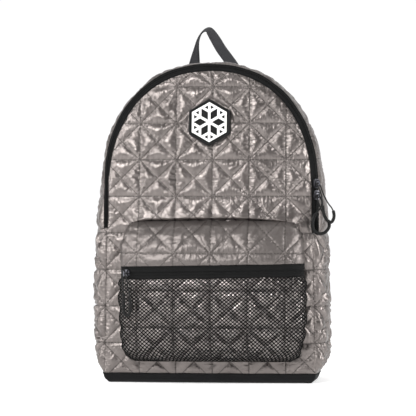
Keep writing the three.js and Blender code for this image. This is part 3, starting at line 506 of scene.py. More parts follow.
def strip(name, node, start, end, first, squares, seed, puff, crumple):
    """A quilted piece of the sides between two distances along the seam."""
    distances = np.linspace(start, end, max(12, int(abs(end - start) / fine)))
    width = strip_tables(distances)[2][:, -1:]
    v = np.linspace(0, 1, int(width.mean() / fine))
    first = first * zip_cover(distances)[:, None]
    inwards = mix(first, width, v)
    along, across = np.broadcast_arrays(distances[:, None], v * squares * quilt_pitch)
    from_end = np.minimum(along - start, end - along)
    edge = np.minimum(np.minimum(inwards - first, width - inwards), from_end)
    run = np.where(from_end <= edge + 1e-6, inwards, along)
    lift = quilting(along, across, np.clip(edge, 0, None), run, puff, 1.3)
    folds = creases(along, inwards, int(abs(end - start) / 2.5), seed, 24, 75, 34)
    lift += (1.1 * waves(along, inwards, 70, seed) + crumple * folds) * smoothstep(edge, 0, 14)
    places, points = stack(along, across), strip_points(distances, inwards, lift)
    back = strip_inwards(distances, inwards)
    return grid_object(name, node, points, places, back, lattice=places, edge=edge)


gusset = strip("gusset_cloth", "top_gusset", zip_left + half_gap, zip_right - half_gap,
               zip_width + sewn_gap, 2.0, 21, gusset_puff, 0.9)
left_side = strip("left_side_cloth", "left_side_panel", -seam_length + half_gap, zip_left - half_gap,
                  0.0, 2.5, 22, side_puff, side_crumple)
right_side = strip("right_side_cloth", "right_side_panel", zip_right + half_gap, seam_length - half_gap,
                   0.0, 2.5, 23, side_puff, side_crumple)


# The front pocket, by an angle across it and a share up it
pocket_stand_off = 3.3


def pocket_place(grow, angle, share):
    c, s = np.cos(angle), np.abs(np.sin(angle))
    across = -np.sign(c) * np.abs(c) ** (2 / pocket_power)
    x = pocket_middle + (pocket_half + grow) * read(pocket_rows, 2, share) * across
    z = mix(pocket_bottom - grow, pocket_top + grow, share)
    out = (pocket_depth + grow) * read(pocket_rows, 1, share) * s ** (2 / pocket_power)
    return stack(x, front_y(x, z) - pocket_stand_off - out, z)


def zip_edge(angle, side):
    across = -np.sign(np.cos(angle)) * np.abs(np.cos(angle)) ** (2 / pocket_power)
    height = pocket_zip_height + side * pocket_zip_width / 2 + across * pocket_zip_rise / 2
    return (height - pocket_bottom) / (pocket_top - pocket_bottom)


def even_angles(count):
    """Angles across the pocket that give even steps along its outline."""
    t = np.sin(math.pi / 2 * np.sin(np.linspace(-math.pi / 2, math.pi / 2, 4001)))
    a = np.arccos(-np.sign(t) * np.abs(t) ** (pocket_power / 2))
    run = running(stack(t * pocket_half, pocket_depth * np.abs(np.sin(a)) ** (2 / pocket_power)))
    at = np.linspace(0, run[-1], count)
    return np.interp(at, run, a), at - run[-1] / 2


def pocket_sheet(columns, rows, low, high, grow=0.0):
    """Points over the pocket between two heights, with their normals and places on the cloth."""
    angle, run = even_angles(columns)
    share = mix(low(angle), high(angle), np.linspace(0, 1, rows)[:, None])
    angle, run = np.tile(angle, (rows, 1)), np.tile(run, (rows, 1))
    base = pocket_place(grow, angle, share)
    normal = grid_normals(base)
    normal *= np.where(normal[..., 1:2] > 0, -1, 1)
    return base, normal, run, share


pocket_tall = pocket_top - pocket_bottom
pocket_quilt_drop = 25.5  # the pocket's squares stand this much lower than the front's
pocket_gap = sewn_gap / 2 / pocket_tall
low_quilting, high_quilting = (0.66, 0.8, 31, 0.8), (0.3, 0.6, 32, 0.5)  # puff, pinch, seed and crumple


def pocket_lift(base, run, share, puff, pinch, seed, crumple):
    """Quilting of the pocket's cloth, flat at its rim and its zip."""
    x, z = base[..., 0], base[..., 2]
    from_zip = np.abs(z - pocket_zip_height) - pocket_zip_width / 2
    sides = (1 - np.abs(run) / np.abs(run).max()) * np.abs(run).max()
    ends = np.minimum(share, 1 - share) * pocket_tall
    edge = np.clip(np.minimum(np.minimum(from_zip, sides), ends), 0, None)
    lift = quilting(x - quilt_across, z - quilt_up + pocket_quilt_drop, edge, x, puff, pinch)
    folds = creases(x, z, 60, seed, 18, 62, 25)
    return lift + (0.9 * waves(x, z, 80, seed) + crumple * folds) * smoothstep(edge, 0, 16), edge


def whole(value):
    return lambda angle: np.full_like(angle, value)


def zip_low(angle):
    return zip_edge(angle, -1)


def zip_high(angle):
    return zip_edge(angle, 1)


def pocket_cloth(name, node, low, high, rows, *quilting_of):
    columns = int(2 * (pocket_half + pocket_depth) / fine)
    base, normal, run, share = pocket_sheet(columns, rows, low, high)
    lift, edge = pocket_lift(base, run, share, *quilting_of)
    places = base[..., [0, 2]]
    lattice = places - [quilt_across, quilt_up - pocket_quilt_drop]
    points = base + normal * lift[..., None]
    return grid_object(name, node, points, places, -normal, skirt=2.0, lattice=lattice, edge=edge)


lower_rows = int(0.62 * pocket_tall / fine) + 10
upper_rows = int(0.34 * pocket_tall / fine) + 14
pocket_low = pocket_cloth("pocket_lower_cloth", "pocket_lower", whole(0.0),
                          lambda a: zip_low(a) - pocket_gap, lower_rows, *low_quilting)
pocket_high = pocket_cloth("pocket_upper_cloth", "pocket_upper",
                           lambda a: zip_high(a) + pocket_gap, whole(1.0), upper_rows, *high_quilting)


# Zips: two tapes that meet in a coil of teeth under the cloth's edge
tape_points = 29  # across a tape
pocket_zip_sunk = -0.5
tooth_pitch = 2.4


def tape_section(t):
    """The tape's height over its plain face, t running from 0 to 1 across it."""
    groove = -0.9 * bell(t - 0.5, 0.035)
    coil = 0.7 * bell(np.abs(t - 0.5) - 0.13, 0.07)
    roll = 0.8 * (bell(t, 0.1) + bell(1 - t, 0.1))
    return groove + coil + roll


def zip_teeth(run, t):
    return 0.18 * np.sin(run * 2 * math.pi / tooth_pitch) * bell(np.abs(t - 0.5) - 0.13, 0.1)


def main_zip_tape():
    distances = np.linspace(zip_left + half_gap, zip_right - half_gap, 500)
    run, t = np.broadcast_arrays(distances[:, None], np.linspace(0, 1, tape_points))
    inwards = t * zip_width * zip_cover(distances)[:, None]
    lift = tape_section(t) + zip_teeth(run, t) + 0.35 * waves(run, inwards, 50, 41)
    points, back = strip_points(distances, inwards, lift), strip_inwards(distances, inwards)
    return grid_object("main_zip_tape", "main_zip", points, stack(run, inwards), back)


def pocket_zip_tape():
    columns = 330
    base, normal, run, _ = pocket_sheet(columns, tape_points, lambda a: zip_low(a) + pocket_gap,
                                        lambda a: zip_high(a) - pocket_gap, pocket_zip_sunk)
    t = np.linspace(0, 1, tape_points)[:, None] + 0 * run
    lift = 0.9 + 0.7 * tape_section(t) + zip_teeth(run, t) + 0.3 * waves(run, t, 60, 42)
    points, places = base + normal * lift[..., None], stack(run, t * pocket_zip_width)
    return grid_object("pocket_zip_tape", "pocket_zip", points, places, -normal, skirt=2.0)


main_zip = main_zip_tape()
pocket_zip = pocket_zip_tape()


# The net: a square lattice on its corner, one diamond hole in each cell, drawn tight over the pillows
net_pitch, net_strand, net_wall, net_stand_off = 5.4, 0.56, 0.5, 1.1


def net_surface():
    """Points of the net over the pocket, by height and run across, with that run."""
    base, normal, run, share = pocket_sheet(360, 170, whole(0.0), lambda a: zip_low(a) - pocket_gap)
    lift, _ = pocket_lift(base, run, share, *low_quilting)
    reach = 4  # points on each side, over which the net lies smooth
    kernel = np.ones(2 * reach + 1) / (2 * reach + 1)
    top = lift
    for _ in range(2):
        soft = np.pad(top, reach, mode="edge")
        for axis in (0, 1):
            soft = np.apply_along_axis(np.convolve, axis, soft, kernel, "valid")
        top = np.maximum(soft, lift)
    return base + normal * (top + net_stand_off)[..., None], run[0]


def net():
    surface, run = net_surface()
    rows, columns = surface.shape[:2]
    half, tall, step = run.max(), running(surface[:, columns // 2])[-1], net_pitch / 2
    corner = np.array([(0, -1), (1, 0), (0, 1), (-1, 0)], float)
    hole = np.stack([0.8 * corner + 0.2 * np.roll(corner, way, axis=0) for way in (1, -1)], axis=1)
    hole = hole.reshape(-1, 2) * (1 - net_strand * math.sqrt(2) / step)
    cell = np.concatenate([corner, hole]) * step
    j, i = np.indices((int(tall / step) + 1, int(2 * half / step) + 1)).reshape(2, -1)
    chosen = (i + j) % 2 == 0
    centres = stack(i * step - half, j * step)[chosen]
    flat = np.clip((centres[:, None] + cell).reshape(-1, 2), [-half, 0], [half, tall])
    ring = []
    for k in range(4):
        a, b, c = 4 + 2 * k, 5 + 2 * k, 4 + (2 * k + 2) % 8
        ring += [(k, a, b), (k, b, c, (k + 1) % 4)]
    faces = [[start + n for n in face] for start in range(0, len(flat), len(cell)) for face in ring]
    r = np.clip(flat[:, 1] / tall * (rows - 1), 0, rows - 1.001)
    c = np.clip((flat[:, 0] + half) / (2 * half) * (columns - 1), 0, columns - 1.001)
    r0, c0 = r.astype(int), c.astype(int)
    low, high = (mix(surface[r0 + k, c0], surface[r0 + k, c0 + 1], (c - c0)[:, None]) for k in (0, 1))
    obj = make_object("pocket_net", mix(low, high, (r - r0)[:, None]), faces)
    set_cloth_map(obj, flat)
    thick = obj.modifiers.new("wall", "SOLIDIFY")
    thick.thickness = net_wall * UNIT
    thick.offset = 0
    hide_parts("pocket_mesh")
    return obj


# The tray under the bag, by shares of its height and of its inset at the floor
tray_rows = (
    (0.0, 1.0), (0.02, 0.88), (0.08, 0.66), (0.2, 0.42), (0.36, 0.21), (0.55, 0.1), (0.78, 0.03),
    (0.9, 0.0), (0.93, -0.06), (0.97, -0.08), (1.0, 0.0),
)


def rim_points(count):
    """The base's rim seen from above, in even steps round it."""
    width = seam_half_low - sewn_gap / 2
    x = np.linspace(-width, width, 200)
    front_edge, back_edge = stack(x, front_y(x, base_height)), stack(-x, back_y(x, base_height))
    out, depth, _ = strip_tables(np.array([seam_length]))
    side = stack(seam_half_low + out[0], depth[0])[1:-1]
    loop = np.concatenate([front_edge, side, back_edge, (side * [-1, 1])[::-1], front_edge[:1]])
    return evenly(loop, count, closed=True)


def tray():
    rim, at = rim_points(640)
    ahead = unit(np.roll(rim, -3, axis=0) - np.roll(rim, 3, axis=0))
    inward = stack(-ahead[:, 1], ahead[:, 0])
    top = base_height - sewn_gap / 2

    def level(inset, z):
        return stack(*(rim + inward * inset[:, None]).T, z)

    levels = []
    for up, inset in tray_rows:
        wobble = 0.35 * waves(at, up * 40, 60, 51) * min(up * 4, 1)
        levels.append(level(inset * base_inset + wobble, up * top))
    floor = [levels[0] * share for share in (0.3, 0.6, 0.9)]
    points = np.array([*floor, *levels, level(0 * at + 4, top - 3)])
    verts = np.concatenate([points.reshape(-1, 3), [[0, 0, 0]]])
    faces = grid_faces(*points.shape[:2], wrap=True).tolist()
    faces += [((i + 1) % len(rim), i, len(verts) - 1) for i in range(len(rim))]
    places, wall = verts[:, :2].copy(), slice(len(floor) * len(rim), -1)
    places[wall] = stack(np.tile(at, len(points) - len(floor)), verts[wall, 2])
    obj = make_object("base_tray", verts, faces)
    set_cloth_map(obj, places)
    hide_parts("base")
    return obj


def back_lift(x, z, edge, _):
    """Padding of the back: a raised spine on each side of a channel, cut by cross channels."""
    channel = 2.6 * bell(x, 9) * smoothstep(z, 40, 70) * (1 - smoothstep(z, 330, 360))
    cross = sum(1.8 * bell(z - h, 6) for h in (125, 215, 300))
    pad = 3.4 * smoothstep(edge, 2, 20)
    return pad - channel - cross * smoothstep(edge, 10, 30) + 0.5 * waves(x, z, 70, 61)


net_cloth = net()
base_tray = tray()
back = panel("back_padding", "back_panel", back_y, 1, back_lift, 0.6)


# Bands along a route, each through middles with a width direction
def spline(points, count):
    """Even places along a smooth curve through points."""
    p = np.vstack([2 * points[0] - points[1], points, 2 * points[-1] - points[-2]])
    t = np.linspace(0, 1, 40, endpoint=False)[:, None]
    spans = [0.5 * (2 * b + (c - a) * t + (2 * a - 5 * b + 4 * c - d) * t**2 + (3 * b - a - 3 * c + d) * t**3)
             for a, b, c, d in zip(p, p[1:], p[2:], p[3:])]
    return evenly(np.vstack([*spans, p[-2]]), count)


def band(name, node, middles, wides, width, section):
    """A closed band. section has shares across it and the rise there, fixed or by the run along it."""
    tangent = unit(np.gradient(middles, axis=0))
    wide = unit(wides - tangent * (wides * tangent).sum(1, keepdims=True))
    run = running(middles)
    t, height = section
    across = t * width / 2
    rise = height(run[:, None], t) if callable(height) else height
    points = middles[:, None] + wide[:, None] * across[:, None]
    points = points + np.cross(tangent, wide)[:, None] * rise[..., None]
    return ring_object(name, node, points, stack(run[:, None], across), ("first", "last"))


def flat_section(wall, edge=0.12, count=9):
    """Webbing cut across: a thin oblong with soft edges."""
    t = np.linspace(-1, 1, count)
    half = wall / 2 * np.clip((1 - np.abs(t)) / edge + 0.35, 0, 1)
    return np.concatenate([t, t[::-1]]), np.concatenate([half, -half[::-1]])


handle_rows = np.array([
    (-1.04, 0.0, 0.0, 0), (-1.02, 0.1, 0.0, 14), (-1.0, 0.22, 0.01, 38), (-0.92, 0.48, 0.03, 66),
    (-0.82, 0.74, 0.05, 88), (-0.6, 0.91, 0.06, 98), (-0.28, 0.95, 0.06, 122), (0.02, 0.79, 0.05, 134),
    (0.36, 0.56, 0.03, 138), (0.72, 0.36, 0.02, 140), (1.0, 0.18, 0.0, 148), (1.04, 0.0, 0.0, 180),
])
handle_half_span, handle_rise, handle_aside, handle_width, handle_wall = 26.6, 66.0, -3.0, 18.0, 1.8
backward = np.array([0.0, 1.0, 0.0])


def handle():
    across, up, deep, turn = handle_rows.T
    y = back_seam + handle_wall / 2 + 2 * sewn_gap + deep * handle_rise
    points = stack(handle_aside + across * handle_half_span, y, seam_top + up * handle_rise)
    sideways = unit(np.cross(backward, np.gradient(points, axis=0)))
    angle = np.radians(turn)[:, None]
    wides = sideways * np.cos(angle) + backward * np.sin(angle)
    both, _ = spline(np.hstack([points, wides * 20]), 90)
    section = flat_section(handle_wall + 0.5)
    return band("handle_webbing", "grab_handle", both[:, :3], both[:, 3:], handle_width, section)


grab_handle = handle()

strap_rows = np.array([
    (0.0, 0.0, 0.0), (0.05, 0.1, 0.0), (0.14, 0.42, 0.03), (0.28, 0.8, 0.1), (0.45, 1.0, 0.26),
    (0.62, 0.93, 0.5), (0.8, 0.66, 0.78), (1.0, 0.34, 1.0),
])
strap_top, strap_drop, strap_top_aside, strap_spread, strap_bow = 372.0, 214.0, 42.0, 26.0, 34.0
strap_width, strap_thick, strap_edge = 62.0, 11.0, 4.0


def strap(side, name):
    down, out, aside = strap_rows.T
    x = side * (strap_top_aside + aside * strap_spread)
    z = strap_top - down * strap_drop
    points = stack(x, back_y(x, z) + sewn_gap + strap_thick / 2 + out * strap_bow, z)
    middles, _ = spline(points, 190)
    t = np.linspace(-1, 1, 41)
    face = np.repeat([1.0, -1.0], len(t))

    def height(run, share):
        share = np.abs(share)
        half = mix(strap_thick, strap_edge, share**4) / 2
        binding = 0.7 * smoothstep(share, 0.84, 0.88) - 0.9 * bell(share - 0.83, 0.02)
        puff = (1 - share**2) * np.abs(np.sin(run * math.pi / 34)) ** 0.5
        return face * (half + binding + np.where(face > 0, puff - 1.0, 0))

    wides, section = np.array([side, 0.0, 0.0]), (np.concatenate([t, t[::-1]]), height)
    obj = band(f"{name}_strap_pad", f"{name}_shoulder_strap", middles, wides, strap_width, section)
    return obj


straps = [strap(-1, "left"), strap(1, "right")]

webbing_width, webbing_wall = 25.0, 1.8
anchor_aside, anchor_height, base_wall = 112.0, 44.0, 3.0
adjuster_length, adjuster_thick, tail_length = 26.0, 4.5, 90.0


def webbing(side, name):
    """The webbing from the strap's ladder lock to its anchor, and the tail that hangs from it."""
    x, z = side * (strap_top_aside + strap_spread), strap_top - strap_drop
    end = np.array([x, back_y(x, z) + sewn_gap + strap_thick / 2 + strap_rows[-1, 1] * strap_bow, z])
    face = back_y(side * anchor_aside, anchor_height) + sewn_gap + base_wall
    anchor = np.array([side * anchor_aside, face + 2 * sewn_gap + webbing_wall / 2, anchor_height])
    down = unit(anchor - end)
    middle = end + down * (adjuster_length / 2 + strap_thick / 2 - 1.4)
    start = middle + down * (adjuster_length / 2 - 6)
    top = middle + backward * (adjuster_thick / 2 + webbing_wall)
    low = top - [0, 0.1 * tail_length, tail_length]
    share = np.linspace(0, 1, 60)[:, None]
    across, section = unit(np.cross(down, backward)), flat_section(webbing_wall)
    sag = mix(start, anchor, share) + backward * 1.2 * np.sin(share * math.pi)
    curl = mix(top, low, share) + backward * 1.6 * np.sin(share * 2 * math.pi)
    return [band(f"{name}_webbing", f"{name}_lower_webbing", sag, across, webbing_width, section),
            band(f"{name}_tail", f"{name}_webbing_tail", curl, across, webbing_width, section)]


webbings = webbing(-1, "left") + webbing(1, "right")


# The badge: a moulded hexagon with a raised rim and a sunk field for the motif
badge_lift, badge_side = 3.0, 10
badge_section = np.array([
    (1.0, 0.0), (1.01, 0.5), (1.01, 1.6), (0.99, 2.1), (0.965, 2.3), (0.93, 2.3), (0.905, 2.1), (0.89, 1.6),
    (0.87, 1.45), (0.6, 1.45), (0.3, 1.45), (0.02, 1.45),
])


def badge():
    turn = np.radians(90 + 60 * np.arange(7))
    corners = stack(np.cos(turn), np.sin(turn))
    share = np.arange(badge_side)[:, None] / badge_side
    loop = np.concatenate([mix(a, b, share) for a, b in zip(corners, corners[1:])])
    loop[::badge_side] *= 0.985
    scale, lift = badge_section.T[:, :, None]
    rings = loop * scale[..., None] * badge_radius
    points = surface_points(front_y, -1, rings[..., 0], rings[..., 1] + badge_height, lift + badge_lift)
    return ring_object("badge", "patch", points, rings, ("last",))


patch = badge()


# Cord pulls: a cord through each slider's bridge and the sleeve on its loop
lower_pull_route = np.array([
    (2.8, -2.8, 0.3), (4.2, -1.6, 0.1), (5.8, -2.5, -2.7), (7.4, -5.5, -7.7),
    (7.2, -7.5, -13.1), (4.8, -8.9, -18.1), (0.5, -10.1, -23.1), (-2.7, -10.9, -29.1),
    (-4.1, -11.1, -36.6), (-3.2, -10.9, -43.7), (1.5, -10.3, -48.7), (8, -8.9, -49.5),
    (13.5, -6.9, -46.7), (17.2, -5.7, -40.5), (16.6, -5.5, -34.1), (12.8, -5.5, -27.6),
    (8.8, -5.7, -22.1), (6, -5.7, -17.1), (4, -5.7, -11.1), (2.2, -5.7, -5.1),
    (0.9, -5.3, -1.3), (1.4, -4, 0.4), (2.5, -3.1, 0.4),
])
upper_pull_route = np.array([
    (3, -2.6, 0.3), (4.4, -1.5, 0.1), (6.1, -2.8, -3.1), (8.7, -6.4, -10.1),
    (11.7, -9.8, -17.1), (16.4, -12.6, -25.6), (21.1, -14, -31.9), (23.7, -14.4, -38.6),
    (23.3, -14.4, -45.5), (19.9, -14.4, -49.9), (15.3, -14.4, -47.5), (11.7, -14.5, -41.7),
    (9.9, -14.6, -34.6), (9.2, -14.2, -27.1), (8.3, -12.4, -19.1), (6.5, -9.8, -11.1),
    (3.3, -7, -4.1), (1.1, -5, -0.7), (1.8, -3.7, 0.4), (2.7, -2.9, 0.3),
])
pocket_pull_route = np.array([
    (-1.8, -3.6, 0.5), (-2.1, -4.7, 3.3), (-3.4, -7.5, 3.7), (-4.2, -9.5, -0.1),
    (-3.8, -11.3, -8.1), (-2.8, -12.5, -18.1), (-2.1, -13.1, -29.1), (-2.2, -13.3, -40.1),
    (-1.6, -13.3, -49.1), (2, -13.5, -53.9), (5.9, -13.7, -50.3), (6.8, -13.7, -42.1),
    (5.6, -13.5, -32.1), (4, -13.1, -20.1), (2, -11.7, -10.1), (-0.1, -8.5, -4.1),
    (-1.4, -4.9, -1.9), (-1.8, -3.6, 0.1),
])
cord_thick, grip_thick, grip_rib = 1.8, 4.2, 1.6


def main_slider_place(height):
    """A main slider's place: the zip's middle line at a height, just off its face."""
    distance = np.array([seam_distance(height)])
    return strip_points(distance, np.array([[zip_width / 2]]), np.array([[sewn_gap]]))[0, 0]


def pocket_slider_place():
    reach = (pocket_half - 8.5) / pocket_half
    angle = np.array([math.acos(reach ** (pocket_power / 2))])
    share = (zip_low(angle) + zip_high(angle)) / 2

    def near(turn, rise):
        return pocket_place(pocket_zip_sunk, angle + turn, share + rise)[0]

    normal = unit(np.cross(near(0.02, 0) - near(-0.02, 0), near(0, 0.01) - near(0, -0.01)))
    return near(0, 0) + normal * 2 * sewn_gap


def grip_radius(run, length):
    from_end = min(run, length - run)
    rounded = math.sqrt(max(0.0, 1 - max(0.0, 1 - from_end / 1.4) ** 2))
    rib = 0.12 * math.sin(run * 2 * math.pi / grip_rib)
    return cord_thick / 2 + (grip_thick / 2 - cord_thick / 2 + rib) * rounded


def tube(name, node, path, sides=16):
    """A sleeve along a path, closed at both ends by turning in towards the cord."""
    tangent = unit(np.gradient(path, axis=0))
    side, run = np.cross(tangent[0], [0.0, 1.0, 0.3]), running(path)
    turn = np.linspace(0, 2 * math.pi, sides, endpoint=False)[:, None]
    rings = []
    for middle, ahead, at in zip(path, tangent, run):
        side = unit(side - ahead * (side @ ahead))
        circle = np.cos(turn) * side + np.sin(turn) * np.cross(ahead, side)
        rings.append(middle + circle * grip_radius(at, run[-1]))
    return ring_object(name, node, np.array(rings), stack(run[:, None], turn[:, 0] * 2))


def pull(name, origin, route, first, last):
    """The cord of a pull, with its sleeve from one share of the cord's length to another."""
    path, run = spline(route + origin, 260)
    data = bpy.data.curves.new(f"{name}_cord", "CURVE")
    data.dimensions = "3D"
    line = data.splines.new("POLY")
    line.points.add(len(path) - 1)
    line.points.foreach_set("co", np.hstack([path * UNIT, np.ones((len(path), 1))]).ravel())
    data.bevel_depth = cord_thick / 2 * UNIT
    data.bevel_resolution = 4
    data.use_fill_caps = True
    obj = add_object(f"{name}_cord", data)
    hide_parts(f"{name}_pull")
    held = (run >= first * run[-1]) & (run <= last * run[-1])
    grip = tube(f"{name}_sleeve", f"{name}_grip", path[held])
    return obj, grip


pulls = [
    pull("main_lower", main_slider_place(244.0), lower_pull_route, 0.24, 0.7),
    pull("main_upper", main_slider_place(259.0), upper_pull_route, 0.36, 0.72),
    pull("pocket", pocket_slider_place(), pocket_pull_route, 0.28, 0.72),
]


# Stitches: short raised threads, joined into one mesh for each piece
stitch_length, stitch_gap, thread_radius = 2.9, 1.1, 0.32


def thread(name, starts, ends, normals):
    """One spindle of thread for each stitch."""
    middle = (starts + ends) / 2 + normals * 0.25
    side = np.cross(unit(ends - starts), normals)
    ring = [middle + way * thread_radius for way in (side, normals, -side, -normals)]
    verts = np.stack([starts - normals * 0.2, ends - normals * 0.2, *ring], axis=1)
    spindle = []
    for a, b in ((2, 3), (3, 4), (4, 5), (5, 2)):
        spindle += [(0, a, b), (1, b, a)]
    return make_object(name, verts, (np.arange(len(starts))[:, None, None] * 6 + spindle).reshape(-1, 3))


def lattice_stitches(low, high):
    """Ends of the stitches on all the quilting lines over a range of cloth, as pairs of places."""
    pairs = []
    reach = np.abs(high - low).sum()
    steps = np.arange(-reach, 2 * reach, stitch_length + stitch_gap)[:, None]
    first = np.floor(low / quilt_pitch) - 1
    count = int(reach / quilt_pitch) + 4
    for direction in ((1.0, 0.0), (0.0, 1.0), (1.0, 1.0), (1.0, -1.0)):
        way = np.array(direction) / math.hypot(*direction)
        for k in range(-count, count):
            a = (first + ([0, k] if direction[1] == 0 else [k, 0])) * quilt_pitch + way * steps
            pair = np.stack([a, a + way * stitch_length], axis=1)
            pairs.append(pair[np.all((pair > low) & (pair < high), axis=(1, 2))])
    return np.concatenate(pairs)


def cloth_stitches(name, points, lattice, edge, outward):
    """The stitches of one quilted cloth, laid on its nearest points and off its seams."""
    flat = lattice.reshape(-1, 2)
    tree = KDTree(len(flat))
    for k, place in enumerate(flat):
        tree.insert((*place, 0.0), k)
    tree.balance()
    grid, edge = np.concatenate([points, outward], axis=-1).reshape(-1, 6), edge.ravel()
    ends = []
    for pair in lattice_stitches(flat.min(0), flat.max(0)):
        found = []
        for place in pair:
            _, index, far = zip(*tree.find_n((*place, 0.0), 4))
            if far[0] > fine * 1.2 or edge[list(index)].min() < 4:
                break
            share = 1 / (np.array(far) + 0.05)
            found.append(share @ grid[list(index)] / share.sum())
        if len(found) == 2:
            ends.append(found)
    ends = np.array(ends)
    normals = unit(ends[..., 3:].mean(axis=1))
    return thread(name.replace("cloth", "stitches"), ends[:, 0, :3], ends[:, 1, :3], normals)


stitches = [cloth_stitches(*item) for item in quilted]


# Materials
def new_material(name):
    material = bpy.data.materials.new(name)
    material.use_nodes = True
    material.node_tree.nodes.clear()
    return material, material.node_tree


def add_node(tree, kind, inputs, out=0, **settings):
    """One output of a new shader node. Its inputs are values, colours or other nodes' outputs."""
    node = tree.nodes.new(f"ShaderNode{kind}")
    for key, value in settings.items():
        setattr(node, key, value)
    for key, value in inputs.items():
        if isinstance(value, bpy.types.NodeSocket):
            tree.links.new(value, node.inputs[key])
        else:
            node.inputs[key].default_value = (*value, 1) if isinstance(value, tuple) else value
    return node.outputs[out]


def surface(tree, inputs):
    shader = add_node(tree, "BsdfPrincipled", inputs)
    tree.links.new(shader, tree.nodes.new("ShaderNodeOutputMaterial").inputs["Surface"])


def place_node(tree, mapped=True):
    """Places on the cloth where a piece has its map, else places in the shared frame."""
    if mapped:
        return add_node(tree, "UVMap", {}, "UV", uv_map="cloth")
    return add_node(tree, "TexCoord", {}, "Object")


def noise(tree, where, scale, detail=4.0, rough=0.55, distortion=0.0):
    inputs = {"Vector": where, "Scale": scale, "Detail": detail, "Roughness": rough, "Distortion": distortion}
    return add_node(tree, "TexNoise", inputs, noise_type="FBM")


def ribs(tree, where, per_metre, direction):
    inputs = {"Vector": where, "Scale": per_metre / 20 * math.pi}
    return add_node(tree, "TexWave", inputs, "Fac", bands_direction=direction, wave_profile="SIN")


def maths(tree, kind, *values):
    """One operation on two values, or on each further value and the result so far."""
    return functools.reduce(lambda a, b: add_node(tree, "Math", {0: a, 1: b}, operation=kind), values)


def blend_range(tree, value, low, high, start=0.0, end=1.0):
    inputs = {"Value": value, "From Min": start, "From Max": end, "To Min": low, "To Max": high}
    return add_node(tree, "MapRange", inputs)


def blend_colour(tree, value, low, high):
    return add_node(tree, "Mix", {"Factor": value, "A": low, "B": high}, "Result", data_type="RGBA")


def bump(tree, layers):
    """Layers of relief, each a height from 0 to 1 and its depth in millimetres."""
    under = {}
    for height, depth in layers:
        inputs = {"Height": height, "Strength": 1.0, "Distance": depth * UNIT, **under}
        under = {"Normal": add_node(tree, "Bump", inputs, "Normal")}
    return under["Normal"]


def weave(tree, where, threads_per_metre):
    return maths(tree, "MULTIPLY", *(ribs(tree, where, threads_per_metre, way) for way in "XY"))


def lattice_lines(tree):
    """Places along and over each family of quilting lines, in squares, and the distance to its lines."""
    where = {"Vector": add_node(tree, "UVMap", {}, "UV", uv_map="lattice")}
    u, v = (add_node(tree, "SeparateXYZ", where, axis) for axis in "XY")
    total, apart = maths(tree, "ADD", u, v), maths(tree, "SUBTRACT", u, v)
    pairs = ((u, v), (v, u), (total, apart), (apart, total))
    return [(along, over, maths(tree, "PINGPONG", over, 0.5)) for along, over in pairs]


def gathers(tree, families):
    """Small wrinkles across each line of stitches, strongest beside it."""
    heights = []
    for k, (along, over, distance) in enumerate(families):
        where = {"X": along, "Y": maths(tree, "MULTIPLY", over, 0.16), "Z": 3.7 * k}
        wrinkle = noise(tree, add_node(tree, "CombineXYZ", where), 17 if k < 2 else 13, 2, 0.6, 0.3)
        near = maths(tree, "SUBTRACT", 1.0, maths(tree, "MULTIPLY", distance, 2.0))
        heights.append(maths(tree, "MULTIPLY", wrinkle, maths(tree, "POWER", near, 2.0)))
    return maths(tree, "ADD", *heights)


def nylon(name, dark, light, rough, crinkle, mapped=True, gather=0.0):
    """Shiny coated nylon: a fine weave, small creases, uneven gloss, and at the quilting lines gathers and
    painted shade.
    """
    material, tree = new_material(name)
    where = place_node(tree, mapped)
    cloud = noise(tree, where, 26, 3)
    layers = [(noise(tree, where, 140, 3, 0.5, 0.9), crinkle), (noise(tree, where, 420, 2, 0.5, 0.8), 0.12),
              (weave(tree, where, 2600), 0.02)]
    colour = blend_colour(tree, cloud, dark, light)
    if gather:
        families = lattice_lines(tree)
        # Painted shade: near each quilting line the colour darkens towards 0.6 of the dark tone, as shade in
        # the stitched grooves.
        nearest = maths(tree, "MINIMUM", *(family[2] for family in families))
        line = blend_range(tree, nearest, 1.0, 0.0, 0.0, 0.03)
        colour = blend_colour(tree, line, colour, tuple(c * 0.6 for c in dark))
        layers.insert(0, (gathers(tree, families), gather))
    gloss = blend_range(tree, cloud, rough - 0.07, rough + 0.09)
    surface(tree, {"Base Color": colour, "Roughness": gloss, "Metallic": 0.8, "Specular IOR Level": 0.5,
                   "Normal": bump(tree, layers)})
    return material


def woven(name, dark, light, rough, threads, depth, sheen=0.0, ribbing=None):
    """Matte woven cloth, webbing or tape, with ribs along it where given."""
    material, tree = new_material(name)
    where = place_node(tree)
    fuzz = noise(tree, where, 1500, 2)
    layers = [(weave(tree, where, threads), depth), (fuzz, depth * 0.4)]
    if ribbing:
        layers.append((ribs(tree, where, ribbing, "Y"), depth * 1.5))
    colour = blend_colour(tree, noise(tree, where, 60), dark, light)
    surface(tree, {"Base Color": colour, "Roughness": blend_range(tree, fuzz, rough - 0.08, rough + 0.08),
                   "Sheen Weight": sheen,
                   "Specular IOR Level": 0.1, "Normal": bump(tree, layers)})
    return material


def moulded(name, dark, light, rough, metallic=0.0):
    """Moulded rubber, plastic or plated metal: fine grain, small marks and uneven gloss."""
    material, tree = new_material(name)
    where = place_node(tree, False)
    cloud, grain = noise(tree, where, 90, 5), noise(tree, where, 1400, 3)
    surface(tree, {"Base Color": blend_colour(tree, cloud, dark, light), "Metallic": metallic,
                   "Roughness": blend_range(tree, cloud, rough - 0.08, rough + 0.1),
                   "Specular IOR Level": 0.14, "Normal": bump(tree, [(grain, 0.03), (cloud, 0.06)])})
    return material


def grey(value):
    return (value, value, value)


def dress(obj, material, name):
    obj.data.materials.clear()
    obj.data.materials.append(material)


